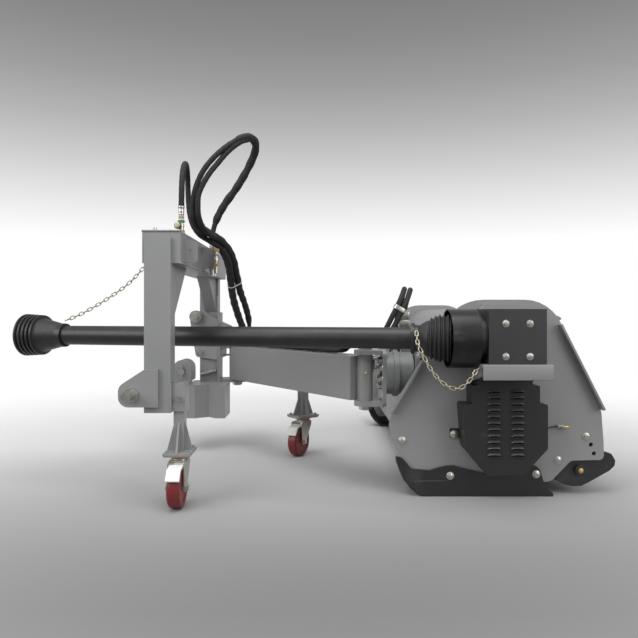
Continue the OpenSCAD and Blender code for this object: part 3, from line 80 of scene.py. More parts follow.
# Shader maths written as expressions on a socket
class Sock:
    def __init__(self, tree, socket):
        self.tree = tree
        self.socket = socket

    def maths(self, operation, other=None, swap=False, clamp=False):
        pair = (other, self) if swap else (self, other)
        values = {i: v for i, v in enumerate(pair) if v is not None}
        return self.tree.node("ShaderNodeMath", {"operation": operation, "use_clamp": clamp}, values)

    def __add__(self, other):
        return self.maths("ADD", other)

    def __radd__(self, other):
        return self.maths("ADD", other)

    def __sub__(self, other):
        return self.maths("SUBTRACT", other)

    def __rsub__(self, other):
        return self.maths("SUBTRACT", other, swap=True)

    def __mul__(self, other):
        return self.maths("MULTIPLY", other)

    def __rmul__(self, other):
        return self.maths("MULTIPLY", other)

    def __truediv__(self, other):
        return self.maths("DIVIDE", other)

    def __pow__(self, other):
        return self.maths("POWER", other)

    def sine(self):
        return self.maths("SINE")

    def held(self):
        return self.maths("ADD", 0.0, clamp=True)

    def most(self, other):
        return self.maths("MAXIMUM", other)


# The node tree of a material or of the world
class Finish:
    def __init__(self, owner):
        self.owner = owner
        owner.use_nodes = True
        self.tree = owner.node_tree
        self.tree.nodes.clear()
        self.coords = None

    def node(self, kind, settings=None, values=None, out=0):
        made = self.tree.nodes.new(kind)
        for key, value in (settings or {}).items():
            if key == "stops":
                ramp = made.color_ramp
                while len(ramp.elements) < len(value):
                    ramp.elements.new(0.5)
                for element, (place, colour) in zip(ramp.elements, value):
                    element.position = place
                    element.color = colour
            else:
                setattr(made, key, value)
        for key, value in (values or {}).items():
            socket = made.inputs[key]
            if isinstance(value, Sock):
                self.tree.links.new(value.socket, socket)
            else:
                socket.default_value = value
        return Sock(self, made.outputs[out])

    def place(self, turn=(0, 0, 0), stretch=(1, 1, 1)):
        if self.coords is None:
            self.coords = self.node("ShaderNodeTexCoord", out="Object")
        if turn == (0, 0, 0) and stretch == (1, 1, 1):
            return self.coords
        return self.node(
            "ShaderNodeMapping", {}, {"Vector": self.coords, "Rotation": turn, "Scale": stretch}
        )

    def axes(self, vector):
        split = self.node("ShaderNodeSeparateXYZ", {}, {"Vector": vector})
        outs = split.socket.node.outputs
        return Sock(self, outs[0]), Sock(self, outs[1]), Sock(self, outs[2])

    def noise(self, scale, detail=4.0, rough=0.5, vector=None):
        values = {"Vector": vector or self.place(), "Scale": scale, "Detail": detail, "Roughness": rough}
        return self.node("ShaderNodeTexNoise", {}, values)

    def blots(self, scale):
        values = {"Vector": self.place(), "Scale": scale}
        return self.node("ShaderNodeTexVoronoi", {"feature": "F1"}, values)

    def step(self, value, low, high):
        return self.node(
            "ShaderNodeMapRange", {"interpolation_type": "SMOOTHSTEP"},
            {"Value": value, "From Min": low, "From Max": high},
        )

    def mix(self, factor, a, b):
        made = self.tree.nodes.new("ShaderNodeMix")
        made.data_type = "RGBA"
        for index, value in ((0, factor), (6, a), (7, b)):
            socket = made.inputs[index]
            if isinstance(value, Sock):
                self.tree.links.new(value.socket, socket)
            else:
                isColour = isinstance(value, tuple) and len(value) == 3
                socket.default_value = (*value, 1) if isColour else value
        return Sock(self, made.outputs[2])

    def bump(self, height, distance, strength):
        return self.node(
            "ShaderNodeBump", {}, {"Height": height, "Distance": distance, "Strength": strength}
        )

    def end(self, **values):
        names = {
            "colour": "Base Color", "rough": "Roughness", "metal": "Metallic", "coat": "Coat Weight",
            "coatRough": "Coat Roughness", "normal": "Normal", "spec": "Specular IOR Level",
        }
        inputs = {}
        for key, value in values.items():
            if key == "colour" and not isinstance(value, Sock):
                value = (*value, 1)
            inputs[names[key]] = value
        return self.close(self.node("ShaderNodeBsdfPrincipled", {}, inputs))

    def close(self, surface, kind="ShaderNodeOutputMaterial"):
        output = self.tree.nodes.new(kind)
        self.tree.links.new(surface.socket, output.inputs["Surface"])
        return self.owner


# Paint: clouded, with dust low down, scratches and chips
def paintFinish(name, look):
    f = Finish(bpy.data.materials.new(name))
    peel = f.noise(look["peel"], 2.0, 0.5)
    cloud = f.noise(3.2, 5.0, 0.6)
    fine = f.noise(240.0, 3.0, 0.6)
    dust = f.step(f.noise(9.0, 6.0, 0.7), 0.52, 0.78)
    z = f.axes(f.place())[2]
    low = 1 - f.step(z, 0.02, 0.42)
    drawn = f.place(turn=(0.4, 0.7, 0.2), stretch=(0.12, 1, 4))
    scratch = f.step(f.noise(36.0, 3.0, 0.5, drawn), 0.68, 0.74)
    chips = f.step(f.blots(46.0), 0.055, 0.035) * f.step(f.noise(5.5, 3.0, 0.5), 0.6, 0.68)
    colour = f.mix((cloud - 0.5) * 0.9 + 0.5, look["dark"], look["light"])
    colour = f.mix((dust * (0.10 + low * 0.22)).held(), colour, look["dust"])
    colour = f.mix((scratch * look["wear"]).held(), colour, look["scratch"])
    colour = f.mix((chips * look["wear"]).held(), colour, (0.06, 0.055, 0.05))
    rough = look["rough"] + (cloud - 0.5) * 0.16 + dust * 0.14 + scratch * 0.1 + fine * 0.03
    height = peel * look["peelDepth"] + fine * 0.15 - chips * 0.8 - scratch * 0.25
    return f.end(
        colour=colour, rough=rough.held(), normal=f.bump(height, look["depth"], 0.6),
        spec=0.5, coat=look["coat"], coatRough=0.25,
    )


framePaint = paintFinish("framePaint", {
    "dark": (0.228, 0.231, 0.231), "light": (0.285, 0.288, 0.287), "dust": (0.37, 0.365, 0.35),
    "scratch": (0.33, 0.33, 0.33), "wear": 0.35, "rough": 0.36, "peel": 420.0, "peelDepth": 0.8,
    "depth": 0.00025, "coat": 0.18,
})
deckPaint = paintFinish("deckPaint", {
    "dark": (0.222, 0.223, 0.224), "light": (0.265, 0.266, 0.266), "dust": (0.31, 0.305, 0.295),
    "scratch": (0.31, 0.31, 0.31), "wear": 0.45, "rough": 0.42, "peel": 380.0, "peelDepth": 0.8,
    "depth": 0.00025, "coat": 0.10,
})
blackPaint = paintFinish("blackPaint", {
    "dark": (0.012, 0.012, 0.013), "light": (0.020, 0.020, 0.021), "dust": (0.09, 0.085, 0.08),
    "scratch": (0.06, 0.06, 0.06), "wear": 0.4, "rough": 0.40, "peel": 520.0, "peelDepth": 1.0,
    "depth": 0.0003, "coat": 0.12,
})
boxPaint = paintFinish("boxPaint", {
    "dark": (0.026, 0.026, 0.027), "light": (0.038, 0.038, 0.039), "dust": (0.12, 0.115, 0.11),
    "scratch": (0.09, 0.09, 0.09), "wear": 0.4, "rough": 0.42, "peel": 520.0, "peelDepth": 1.0,
    "depth": 0.0003, "coat": 0.12,
})
# Louvre paint: a lighter copy of the black paint, a painted highlight where light would catch the louvres'
# hoods
louvreHighlightPaint = paintFinish("louvreHighlightPaint", {
    "dark": (0.040, 0.041, 0.041), "light": (0.062, 0.063, 0.063), "dust": (0.14, 0.135, 0.13),
    "scratch": (0.10, 0.10, 0.10), "wear": 0.5, "rough": 0.34, "peel": 520.0, "peelDepth": 1.0,
    "depth": 0.0003, "coat": 0.2,
})
skidPaint = paintFinish("skidPaint", {
    "dark": (0.010, 0.010, 0.011), "light": (0.018, 0.018, 0.019), "dust": (0.10, 0.09, 0.08),
    "scratch": (0.11, 0.105, 0.10), "wear": 0.7, "rough": 0.30, "peel": 300.0, "peelDepth": 1.0,
    "depth": 0.0004, "coat": 0.3,
})
motorPaint = paintFinish("motorPaint", {
    "dark": (0.16, 0.165, 0.168), "light": (0.215, 0.219, 0.221), "dust": (0.27, 0.26, 0.24),
    "scratch": (0.28, 0.28, 0.28), "wear": 0.4, "rough": 0.44, "peel": 260.0, "peelDepth": 1.3,
    "depth": 0.0005, "coat": 0.08,
})


# Plastic and rubber: a fine skin, scuffed along the drive shaft
def plasticFinish(name, look):
    f = Finish(bpy.data.materials.new(name))
    skin = f.noise(700.0, 2.0, 0.5)
    cloud = f.noise(4.5, 5.0, 0.6)
    along = f.noise(28.0, 3.0, 0.5, f.place(turn=(0, 0, 0.227), stretch=(0.05, 1, 1)))
    scuff = f.step(along, 0.62, 0.72) * f.step(f.noise(7.0, 4.0, 0.6), 0.5, 0.66)
    dust = f.step(f.noise(14.0, 6.0, 0.7), 0.5, 0.82)
    colour = f.mix((cloud - 0.5) * 0.8 + 0.5, look["dark"], look["light"])
    colour = f.mix((scuff * 0.5).held(), colour, look["scuff"])
    colour = f.mix((dust * 0.14).held(), colour, (0.16, 0.15, 0.14))
    rough = look["rough"] + cloud * 0.12 + scuff * 0.18 + dust * 0.12
    normal = f.bump(skin + along * 0.5, 0.00012, 0.5)
    return f.end(colour=colour, rough=rough.held(), normal=normal, spec=0.5)


guardPlastic = plasticFinish("guardPlastic", {
    "dark": (0.011, 0.011, 0.012), "light": (0.022, 0.022, 0.023),
    "scuff": (0.07, 0.07, 0.07), "rough": 0.34,
})
collarPlastic = plasticFinish("collarPlastic", {
    "dark": (0.004, 0.004, 0.0045), "light": (0.008, 0.008, 0.0085),
    "scuff": (0.03, 0.03, 0.03), "rough": 0.26,
})
bellRubber = plasticFinish("bellRubber", {
    "dark": (0.014, 0.014, 0.014), "light": (0.026, 0.026, 0.026),
    "scuff": (0.08, 0.078, 0.075), "rough": 0.5,
})
beltRubber = plasticFinish("beltRubber", {
    "dark": (0.016, 0.016, 0.016), "light": (0.03, 0.03, 0.03), "scuff": (0.07, 0.07, 0.065), "rough": 0.62,
})
whitePlastic = plasticFinish("whitePlastic", {
    "dark": (0.70, 0.70, 0.67), "light": (0.82, 0.82, 0.80), "scuff": (0.45, 0.44, 0.42), "rough": 0.34,
})
bluePlastic = plasticFinish("bluePlastic", {
    "dark": (0.02, 0.09, 0.30), "light": (0.03, 0.13, 0.40), "scuff": (0.15, 0.2, 0.3), "rough": 0.34,
})
sealPlastic = plasticFinish("sealPlastic", {
    "dark": (0.42, 0.13, 0.04), "light": (0.56, 0.19, 0.06), "scuff": (0.4, 0.25, 0.15), "rough": 0.42,
})
tealPlastic = plasticFinish("tealPlastic", {
    "dark": (0.02, 0.16, 0.12), "light": (0.04, 0.24, 0.18), "scuff": (0.12, 0.22, 0.2), "rough": 0.34,
})


# Woven sleeve of the hoses, on the piece's own UV map
def sleeveFinish(name, strands, twist):
    f = Finish(bpy.data.materials.new(name))
    u, v = f.axes(f.node("ShaderNodeUVMap", {"uv_map": "along"}))[:2]
    left = (u * strands * math.tau / 2 + v * twist).sine()
    right = (u * strands * math.tau / 2 - v * twist).sine()
    weave = left * right
    thread = f.noise(900.0, 2.0, 0.5)
    worn = f.step(f.noise(18.0, 5.0, 0.6), 0.45, 0.75)
    shade = (weave * 0.25 + 0.5 + (thread - 0.5) * 0.4).held()
    colour = f.mix(shade, (0.006, 0.006, 0.007), (0.030, 0.030, 0.031))
    colour = f.mix((worn * 0.25).held(), colour, (0.05, 0.049, 0.047))
    return f.end(
        colour=colour, rough=(0.62 + worn * 0.2 + weave * 0.05).held(),
        normal=f.bump(weave * 0.6 + thread * 0.4, 0.0008, 0.8), spec=0.35,
    )


hoseSleeve = sleeveFinish("hoseSleeve", 24, 620)


# Metal: clouded, with a grain and spots of rust
def metalFinish(name, look):
    f = Finish(bpy.data.materials.new(name))
    cloud = f.noise(look["cloud"], 5.0, 0.65)
    grain = f.noise(look["grain"], 2.0, 0.5, f.place(stretch=look["stretch"]))
    fine = f.noise(500.0, 3.0, 0.6)
    spots = f.step(f.noise(22.0, 6.0, 0.7), look["rust"], look["rust"] + 0.14)
    colour = f.mix((cloud * 1.4 - 0.2).held(), look["dark"], look["light"])
    colour = f.mix((grain * 0.25).held(), colour, look["tint"])
    colour = f.mix((spots * look["spots"]).held(), colour, look["stain"])
    rough = look["rough"] + (cloud - 0.5) * 0.2 + spots * 0.25 + grain * 0.08
    return f.end(
        colour=colour, rough=rough.held(), metal=(1 - spots * look["spots"] * 0.8).held(),
        normal=f.bump(grain * 0.6 + fine * 0.4, look["depth"], 0.5),
    )


zincPlate = metalFinish("zincPlate", {
    "dark": (0.42, 0.42, 0.40), "light": (0.66, 0.65, 0.61), "tint": (0.70, 0.66, 0.52),
    "stain": (0.30, 0.27, 0.22), "cloud": 40.0, "grain": 160.0, "stretch": (1, 1, 1), "rough": 0.30,
    "rust": 0.66, "spots": 0.35, "depth": 0.0002,
})
chainZinc = metalFinish("chainZinc", {
    "dark": (0.26, 0.24, 0.18), "light": (0.62, 0.58, 0.46), "tint": (0.68, 0.60, 0.38),
    "stain": (0.28, 0.22, 0.14), "cloud": 90.0, "grain": 200.0, "stretch": (1, 1, 1), "rough": 0.28,
    "rust": 0.62, "spots": 0.4, "depth": 0.0002,
})
turnedSteel = metalFinish("turnedSteel", {
    "dark": (0.36, 0.36, 0.37), "light": (0.56, 0.56, 0.57), "tint": (0.62, 0.60, 0.56),
    "stain": (0.17, 0.11, 0.07), "cloud": 12.0, "grain": 90.0, "stretch": (1, 0.2, 1), "rough": 0.34,
    "rust": 0.6, "spots": 0.5, "depth": 0.0003,
})
forgedSteel = metalFinish("forgedSteel", {
    "dark": (0.10, 0.09, 0.085), "light": (0.24, 0.22, 0.21), "tint": (0.28, 0.24, 0.20),
    "stain": (0.14, 0.07, 0.035), "cloud": 26.0, "grain": 120.0, "stretch": (1, 1, 1), "rough": 0.55,
    "rust": 0.5, "spots": 0.7, "depth": 0.0006,
})
brass = metalFinish("brass", {
    "dark": (0.50, 0.34, 0.13), "light": (0.74, 0.55, 0.24), "tint": (0.80, 0.62, 0.30),
    "stain": (0.22, 0.14, 0.07), "cloud": 50.0, "grain": 200.0, "stretch": (1, 1, 1), "rough": 0.28,
    "rust": 0.66, "spots": 0.4, "depth": 0.0002,
})
knobMetal = metalFinish("knobMetal", {
    "dark": (0.16, 0.15, 0.09), "light": (0.34, 0.32, 0.22), "tint": (0.42, 0.40, 0.28),
    "stain": (0.12, 0.09, 0.05), "cloud": 50.0, "grain": 200.0, "stretch": (1, 1, 1), "rough": 0.36,
    "rust": 0.6, "spots": 0.4, "depth": 0.0003,
})


# Castor wheel: tread and core by the distance from the axle
def wheelFinish(name, axle, direction, radius):
    f = Finish(bpy.data.materials.new(name))
    off = f.node("ShaderNodeVectorMath", {"operation": "SUBTRACT"}, {0: f.place(), 1: axle})
    dot = f.node(
        "ShaderNodeVectorMath", {"operation": "DOT_PRODUCT"}, {0: off, 1: direction}, out="Value"
    )
    length = f.node("ShaderNodeVectorMath", {"operation": "LENGTH"}, {0: off}, out="Value")
    reach = (length * length - dot * dot).most(0.0) ** 0.5
    core = 1 - f.step(reach, radius - 0.0185, radius - 0.0175)
    cloud = f.noise(30.0, 5.0, 0.6)
    dirt = f.step(f.noise(60.0, 5.0, 0.7), 0.5, 0.75) * f.step(reach, radius - 0.01, radius)
    tread = f.mix(cloud, (0.125, 0.010, 0.012), (0.20, 0.018, 0.018))
    hub = f.mix(cloud, (0.20, 0.030, 0.022), (0.30, 0.05, 0.035))
    colour = f.mix((dirt * 0.5).held(), f.mix(core, tread, hub), (0.07, 0.045, 0.035))
    rough = 0.28 + cloud * 0.14 + dirt * 0.3 + core * 0.1
    normal = f.bump(f.noise(300.0, 3.0, 0.5), 0.0002, 0.5)
    return f.end(colour=colour, rough=rough.held(), normal=normal)


# Where the castors stand and which way their axles point
castorSettings = {
    "near": {"at": (-1.0415, -0.0835), "turn": 0.0},
    "far": {"at": (-0.675, 0.579), "turn": math.radians(-27)},
    "trail": 0.038, "radius": 0.0625,
}


def castorPlace(side):
    s = castorSettings[side]
    a = s["turn"]
    trail = castorSettings["trail"]
    x = s["at"][0] + math.sin(a) * trail
    y = s["at"][1] - math.cos(a) * trail
    return (x, y, castorSettings["radius"]), (math.cos(a), math.sin(a), 0.0)


# Which finish each CAD node has
finishes = {
    "near_leg": framePaint, "far_leg": framePaint, "top_beam": framePaint, "pivot_carrier": framePaint,
    "far_link_bracket": framePaint, "near_stand": framePaint, "far_stand": framePaint,
    "main_arm": framePaint, "tie_rod": framePaint, "hub_carrier": framePaint,
    "hose_bracket": framePaint, "near_end_plate": deckPaint, "far_end_plate": deckPaint,
    "hood": deckPaint, "hub_bracket": deckPaint, "rear_door": deckPaint, "gearbox": blackPaint,
    "gearbox_guard": boxPaint, "belt_guard": blackPaint, "roller_brackets": blackPaint,
    "rotor_bearings": blackPaint, "rotor": blackPaint, "near_skid": skidPaint, "far_skid": skidPaint,
    "pto_rear_guard": guardPlastic, "pto_front_guard": guardPlastic, "input_collar": collarPlastic,
    "tilt_motor": motorPaint, "drive_belts": beltRubber, "near_castor_pedal": whitePlastic,
    "far_castor_pedal": whitePlastic, "flail_row_1": forgedSteel, "flail_row_2": forgedSteel,
    "flail_row_3": forgedSteel, "flail_row_4": forgedSteel, "upper_pulley": turnedSteel,
    "lower_pulley": turnedSteel, "input_shaft": turnedSteel, "pto_rear_shaft": turnedSteel,
    "pto_front_shaft": turnedSteel, "rear_roller": turnedSteel,
}
for side in ("near", "far"):
    tyre = wheelFinish(side + "CastorTyre", *castorPlace(side), castorSettings["radius"])
    finishes[side + "_castor_wheel"] = tyre
for name, obj in nodes.items():
    obj.data.materials.clear()
    obj.data.materials.append(finishes.get(name, zincPlate))
print("finishes on", len(nodes), "nodes")


# Mesh helpers
def addObject(name, mesh, material, body, smoothAngle=35):
    for polygon in mesh.polygons:
        polygon.use_smooth = True
    mesh.set_sharp_from_angle(angle=math.radians(smoothAngle))
    if material is not None:
        mesh.materials.clear()
        mesh.materials.append(material)
    obj = bpy.data.objects.new(name, mesh)
    scene.collection.objects.link(obj)
    if body is not None:
        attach(obj, body)
    return obj


def splineThrough(points, steps):
    p = [Vector(q) for q in points]
    out = []
    for i in range(len(p) - 1):
        a = p[i - 1] if i else 2 * p[0] - p[1]
        d = p[i + 2] if i + 2 < len(p) else 2 * p[i + 1] - p[i]
        b, c = p[i], p[i + 1]
        for k in range(steps):
            t = k / steps
            out.append(0.5 * (
                2 * b + (c - a) * t + (2 * a - 5 * b + 4 * c - d) * t * t
                + (3 * b - a - 3 * c + d) * t ** 3
            ))
    out.append(p[-1])
    return out


def pathLength(points):
    return sum((b - a).length for a, b in zip(points, points[1:]))


def meshFrom(bm, name, outward=False):
    if outward:
        bmesh.ops.recalc_face_normals(bm, faces=bm.faces)
    mesh = bpy.data.meshes.new(name)
    bm.to_mesh(mesh)
    bm.free()
    return mesh


def ringAt(bm, centre, r, side, up, sides):
    turns = [k * math.tau / sides for k in range(sides)]
    return [bm.verts.new(centre + r * (math.cos(a) * side + math.sin(a) * up)) for a in turns]


def tubeMesh(name, points, radiusAt, sides, firstWay=None, lastWay=None):
    n = len(points)
    ways = []
    for i in range(n):
        if i == 0 and firstWay:
            ways.append(Vector(firstWay).normalized())
        elif i == n - 1 and lastWay:
            ways.append(Vector(lastWay).normalized())
        else:
            ways.append((points[min(i + 1, n - 1)] - points[max(i - 1, 0)]).normalized())
    side = ways[0].orthogonal().normalized()
    bm = bmesh.new()
    uvLayer = bm.loops.layers.uv.new("along")
    rings = []
    run = 0.0
    runs = []
    for i in range(n):
        if i:
            run += (points[i] - points[i - 1]).length
        side = (side - side.dot(ways[i]) * ways[i]).normalized()
        up = ways[i].cross(side)
        rings.append(ringAt(bm, points[i], radiusAt(run), side, up, sides))
        runs.append(run)
    for i in range(n - 1):
        for k in range(sides):
            m = (k + 1) % sides
            face = bm.faces.new((rings[i][k], rings[i][m], rings[i + 1][m], rings[i + 1][k]))
            marks = ((k, i), (k + 1, i), (k + 1, i + 1), (k, i + 1))
            for loop, (around, along) in zip(face.loops, marks):
                loop[uvLayer].uv = (around / sides, runs[along])
    bm.faces.new(list(reversed(rings[0])))
    bm.faces.new(rings[-1])
    return meshFrom(bm, name, outward=True)


def turnedMesh(name, profile, origin, axis, sides=96):
    axis = Vector(axis).normalized()
    side = axis.orthogonal().normalized()
    up = axis.cross(side)
    origin = Vector(origin)
    bm = bmesh.new()
    rings = []
    for along, r in profile:
        if r < 1e-6:
            rings.append([bm.verts.new(origin + along * axis)])
        else:
            rings.append(ringAt(bm, origin + along * axis, r, side, up, sides))
    pairs = list(zip(rings, rings[1:]))
    if len(rings[0]) > 1 and len(rings[-1]) > 1:
        pairs.append((rings[-1], rings[0]))
    for low, high in pairs:
        for k in range(sides):
            m = (k + 1) % sides
            if len(low) == 1:
                bm.faces.new((low[0], high[m], high[k]))
            elif len(high) == 1:
                bm.faces.new((low[k], low[m], high[0]))
            else:
                bm.faces.new((low[k], low[m], high[m], high[k]))
    return meshFrom(bm, name, outward=True)


def boxMesh(name, low, high, bevel):
    bm = bmesh.new()
    bmesh.ops.create_cube(bm, size=1.0)
    for v in bm.verts:
        v.co = Vector([low[i] + (v.co[i] + 0.5) * (high[i] - low[i]) for i in range(3)])
    bmesh.ops.bevel(bm, geom=bm.edges[:], offset=bevel, segments=3, affect="EDGES", profile=0.5)
    return meshFrom(bm, name)


def joinMeshes(name, meshes):
    bm = bmesh.new()
    for mesh in meshes:
        bm.from_mesh(mesh)
    return meshFrom(bm, name)


# Geometry Nodes helper: a tree with named inputs, turned into a plain mesh
class Maker:
    def __init__(self, name, inputs):
        self.tree = bpy.data.node_groups.new(name, "GeometryNodeTree")
        self.ids = {}
        kinds = {
            "geometry": "NodeSocketGeometry", "length": "NodeSocketFloat", "finish": "NodeSocketMaterial",
            "vector": "NodeSocketVector", "object": "NodeSocketObject",
        }
        for label, kind in inputs:
            made = self.tree.interface.new_socket(name=label, in_out="INPUT", socket_type=kinds[kind])
            self.ids[label] = made.identifier
        self.tree.interface.new_socket(name="Mesh", in_out="OUTPUT", socket_type="NodeSocketGeometry")
        self.source = self.tree.nodes.new("NodeGroupInput")
        self.sink = self.tree.nodes.new("NodeGroupOutput")

    def given(self, label):
        return self.source.outputs[label]

    def node(self, kind, settings=None, values=None, out=0):
        made = self.tree.nodes.new(kind)
        for key, value in (settings or {}).items():
            setattr(made, key, value)
        for key, value in (values or {}).items():
            if isinstance(value, bpy.types.NodeSocket):
                self.tree.links.new(value, made.inputs[key])
            else:
                made.inputs[key].default_value = value
        return made.outputs[out]

    def scatter(self, instance, **values):
        return self.node("GeometryNodeInstanceOnPoints", {}, {
            "Points": self.given("Points"), "Instance": instance, **values,
        })

    def turned(self):
        return self.node(
            "GeometryNodeInputNamedAttribute", {"data_type": "FLOAT_VECTOR"}, {"Name": "turn"}
        )

    def close(self, geometry):
        real = self.node("GeometryNodeRealizeInstances", {}, {0: geometry})
        finish = self.given("Finish")
        painted = self.node("GeometryNodeSetMaterial", {}, {"Geometry": real, "Material": finish})
        self.tree.links.new(painted, self.sink.inputs[0])

    def bake(self, name, points, values, turns=None):
        base = bpy.data.meshes.new(name + "Base")
        base.from_pydata([tuple(p) for p in points], [], [])
        if turns:
            layer = base.attributes.new("turn", "FLOAT_VECTOR", "POINT")
            for item, turn in zip(layer.data, turns):
                item.vector = tuple(turn)
        obj = bpy.data.objects.new(name, base)
        scene.collection.objects.link(obj)
        modifier = obj.modifiers.new("make", "NODES")
        modifier.node_group = self.tree
        for label, value in values.items():
            modifier[self.ids[label]] = value
        graph = bpy.context.evaluated_depsgraph_get()
        mesh = bpy.data.meshes.new_from_object(obj.evaluated_get(graph), depsgraph=graph)
        obj.modifiers.remove(modifier)
        bpy.data.objects.remove(obj)
        mesh.name = name
        return mesh


# Hydraulic hoses: routes in metres, with a woven sleeve
hoseSettings = {
    "radius": 0.0095, "sides": 20, "bootRadius": 0.024, "pleat": 0.0006, "pleatLength": 0.011,
    "sleeveStart": 0.0103, "sleeveSides": 24, "sleeveTaper": 0.03, "steps": 6,
    "folds": ((0.0007, 130, 0), (0.0005, 71, 1), (0.0003, 433, 0)),
}


def hosePiece(name, body, node, route, steps, firstWay, lastWay):
    points = splineThrough(route, steps)
    s = hoseSettings

    def radiusAt(run):
        turn = run / s["pleatLength"] * math.tau + math.sin(run * 40)
        return s["radius"] - s["pleat"] * (0.5 + 0.5 * math.sin(turn))

    mesh = tubeMesh(name, points, radiusAt, s["sides"], firstWay, lastWay)
    obj = addObject(name, mesh, hoseSleeve, body, 60)
    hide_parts(node)
    round(pathLength(points), 3)
    return points


def metres(points):
    return [tuple(c / 1000 for c in p) for p in points]


frameHoseA = metres([
    (-1050, -30, 940), (-1049, -30, 985), (-1049, -23, 1030), (-1050, -2, 1069), (-1052, 34, 1093),
    (-1056, 74, 1091), (-1060, 106, 1067), (-1062, 121, 1030), (-1061, 125, 985), (-1057, 126, 942),
    (-1046, 129, 902), (-1024, 137, 870), (-994, 158, 851), (-966, 216, 832), (-951, 290, 794),
    (-953, 380, 734), (-957, 480, 658), (-952, 590, 588), (-946, 660, 546), (-946, 712, 521),
    (-957, 747, 512), (-981, 772, 511),
])
frameHoseB = metres([
    (-1000, 244, 883), (-991, 244, 920), (-976, 244, 958), (-949, 242, 1003), (-915, 238, 1048),
    (-884, 234, 1096), (-857, 225, 1143), (-838, 204, 1180), (-834, 170, 1202), (-847, 133, 1209),
    (-869, 103, 1200), (-897, 81, 1180), (-931, 64, 1150), (-963, 53, 1116), (-991, 46, 1078),
    (-1012, 42, 1034), (-1024, 42, 994), (-1029, 46, 958), (-1030, 57, 922), (-1023, 84, 897),
    (-1006, 119, 883), (-984, 162, 872), (-956, 225, 852), (-936, 300, 812), (-932, 380, 758),
    (-930, 480, 690), (-922, 560, 641), (-917, 640, 591), (-918, 700, 552), (-925, 745, 523),
    (-942, 773, 512), (-965, 788, 511),
])
hubHoseLine = metres([
    (-430, 94, 511), (-412, 94, 512), (-392, 94, 518), (-373, 94, 532), (-358, 94, 557), (-344, 94, 585),
    (-331, 95, 610), (-319, 102, 634), (-308, 118, 656), (-299, 142, 673), (-293, 170, 680),
    (-291, 198, 674), (-293, 222, 656), (-298, 238, 630), (-304, 245, 600), (-311, 246, 563),
    (-318, 246, 523), (-325, 245, 483), (-331, 235, 446), (-335, 213, 417), (-337, 192, 406),
])
hubHoseSide = metres([
    (0, 11, 0), (0, 10.5, 2), (-2.5, 9, 5), (-6, 5, 7), (-8.5, 1, 6), (-8.9, 0, 5.6), (-8.9, 0, 5.6),
    (-9.1, 0, 5.2), (-9.5, 0, 4.4), (-10, 0, 3), (-10.4, 0, 1.5),
] + [(-10.5, 0, 0)] * 10)
armPlace = {"base": (-0.983, 0.790), "length": 0.87725, "tip": (-0.449, 0.094)}
armWay = Vector((*[b - a for a, b in zip(armPlace["base"], armPlace["tip"])], 0)).normalized()
armSide = Vector((-armWay.y, armWay.x, 0))


def onArm(u, v, w):
    base, up = Vector((*armPlace["base"], 0)), Vector((0, 0, w / 1000))
    return tuple(base + armWay * (u / 1000) + armSide * (v / 1000) + up)


frameHoseStrand = metres([
    (-852, 121, 1199), (-872, 97, 1186), (-895, 82, 1166), (-921, 70, 1138), (-946, 60, 1104),
    (-972, 50, 1068), (-994, 42, 1028), (-1008, 36, 990), (-1010, 34, 954), (-1009, 40, 921),
    (-1003, 66, 893), (-990, 108, 872), (-974, 150, 861),
])
frameHoses = {
    "frameHoseA": (frameHoseA, (0, 0, 1), (-1, 1, 0)), "frameHoseB": (frameHoseB, (0, 0, 1), (-1, 1, 0)),
    "frameHoseStrand": (frameHoseStrand, (-0.7, -0.4, -0.6), (0.3, 0.9, -0.25)),
}
framePoints = {}
for name, (route, firstWay, lastWay) in frameHoses.items():
    framePoints[name] = hosePiece(
        name, "hitch_frame", "frame_hoses", route, hoseSettings["steps"], firstWay, lastWay
    )
armHosePoints = []
armLength = armPlace["length"] * 1000
for name, n in (("armHoseA", -11), ("armHoseB", 11)):
    route = [onArm(*p) for p in (
        (15, n, 489), (60, n, 488), (110, n, 474), (150, n, 462), (270, n, 461), (400, n, 461),
        (570, n, 461), (armLength - 140, n, 462), (armLength - 100, n, 477),
        (armLength - 55, n, 489.5), (armLength - 14, n, 489.5),
    )]
    armHosePoints.append(hosePiece(
        name, "swing_arm", "arm_hoses", route, hoseSettings["steps"], tuple(armWay), tuple(armWay)
    ))
hubHosePoints = []
for name, s in (("hubHoseA", -1), ("hubHoseB", 1)):
    route = [tuple(Vector(p) + s * Vector(o)) for p, o in zip(hubHoseLine, hubHoseSide)]
    hubHosePoints.append(hosePiece(name, "hub", "hub_hoses", route, 5, (1, 0, 0), (0, -1, 0)))


# Woven sleeves that gather the hoses, over part of their routes
sleeveSettings = {
    "frameHoseSleeveTop": ("frameHoseB", 1.2, 10.6, 0.0138),
    "frameHoseSleeveSide": ("frameHoseB", 17.5, 25.5, 0.0140),
    "frameHoseSleeveLow": ("frameHoseA", 13.0, 19.0, 0.0145),
    "frameHoseSleeveEnd": ("frameHoseB", 24.6, 28.0, 0.0130),
}
for name, (hose, start, end, wide) in sleeveSettings.items():
    s = hoseSettings
    part = framePoints[hose][round(start * s["steps"]):round(end * s["steps"]) + 1]
    long = pathLength(part)

    def sleeveRadius(run, long=long, wide=wide):
        ends = min(1.0, min(run, long - run) / hoseSettings["sleeveTaper"])
        fold = sum(deep * math.sin(run * rate + shift) for deep, rate, shift in hoseSettings["folds"])
        least = hoseSettings["sleeveStart"]
        return least + (wide - least + fold) * math.sin(ends * math.pi / 2)

    mesh = tubeMesh(name, splineThrough(part, 2), sleeveRadius, s["sleeveSides"])
    obj = addObject(name, mesh, hoseSleeve, "hitch_frame", 60)
    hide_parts("frame_hoses")
print("hoses laid and sleeved")


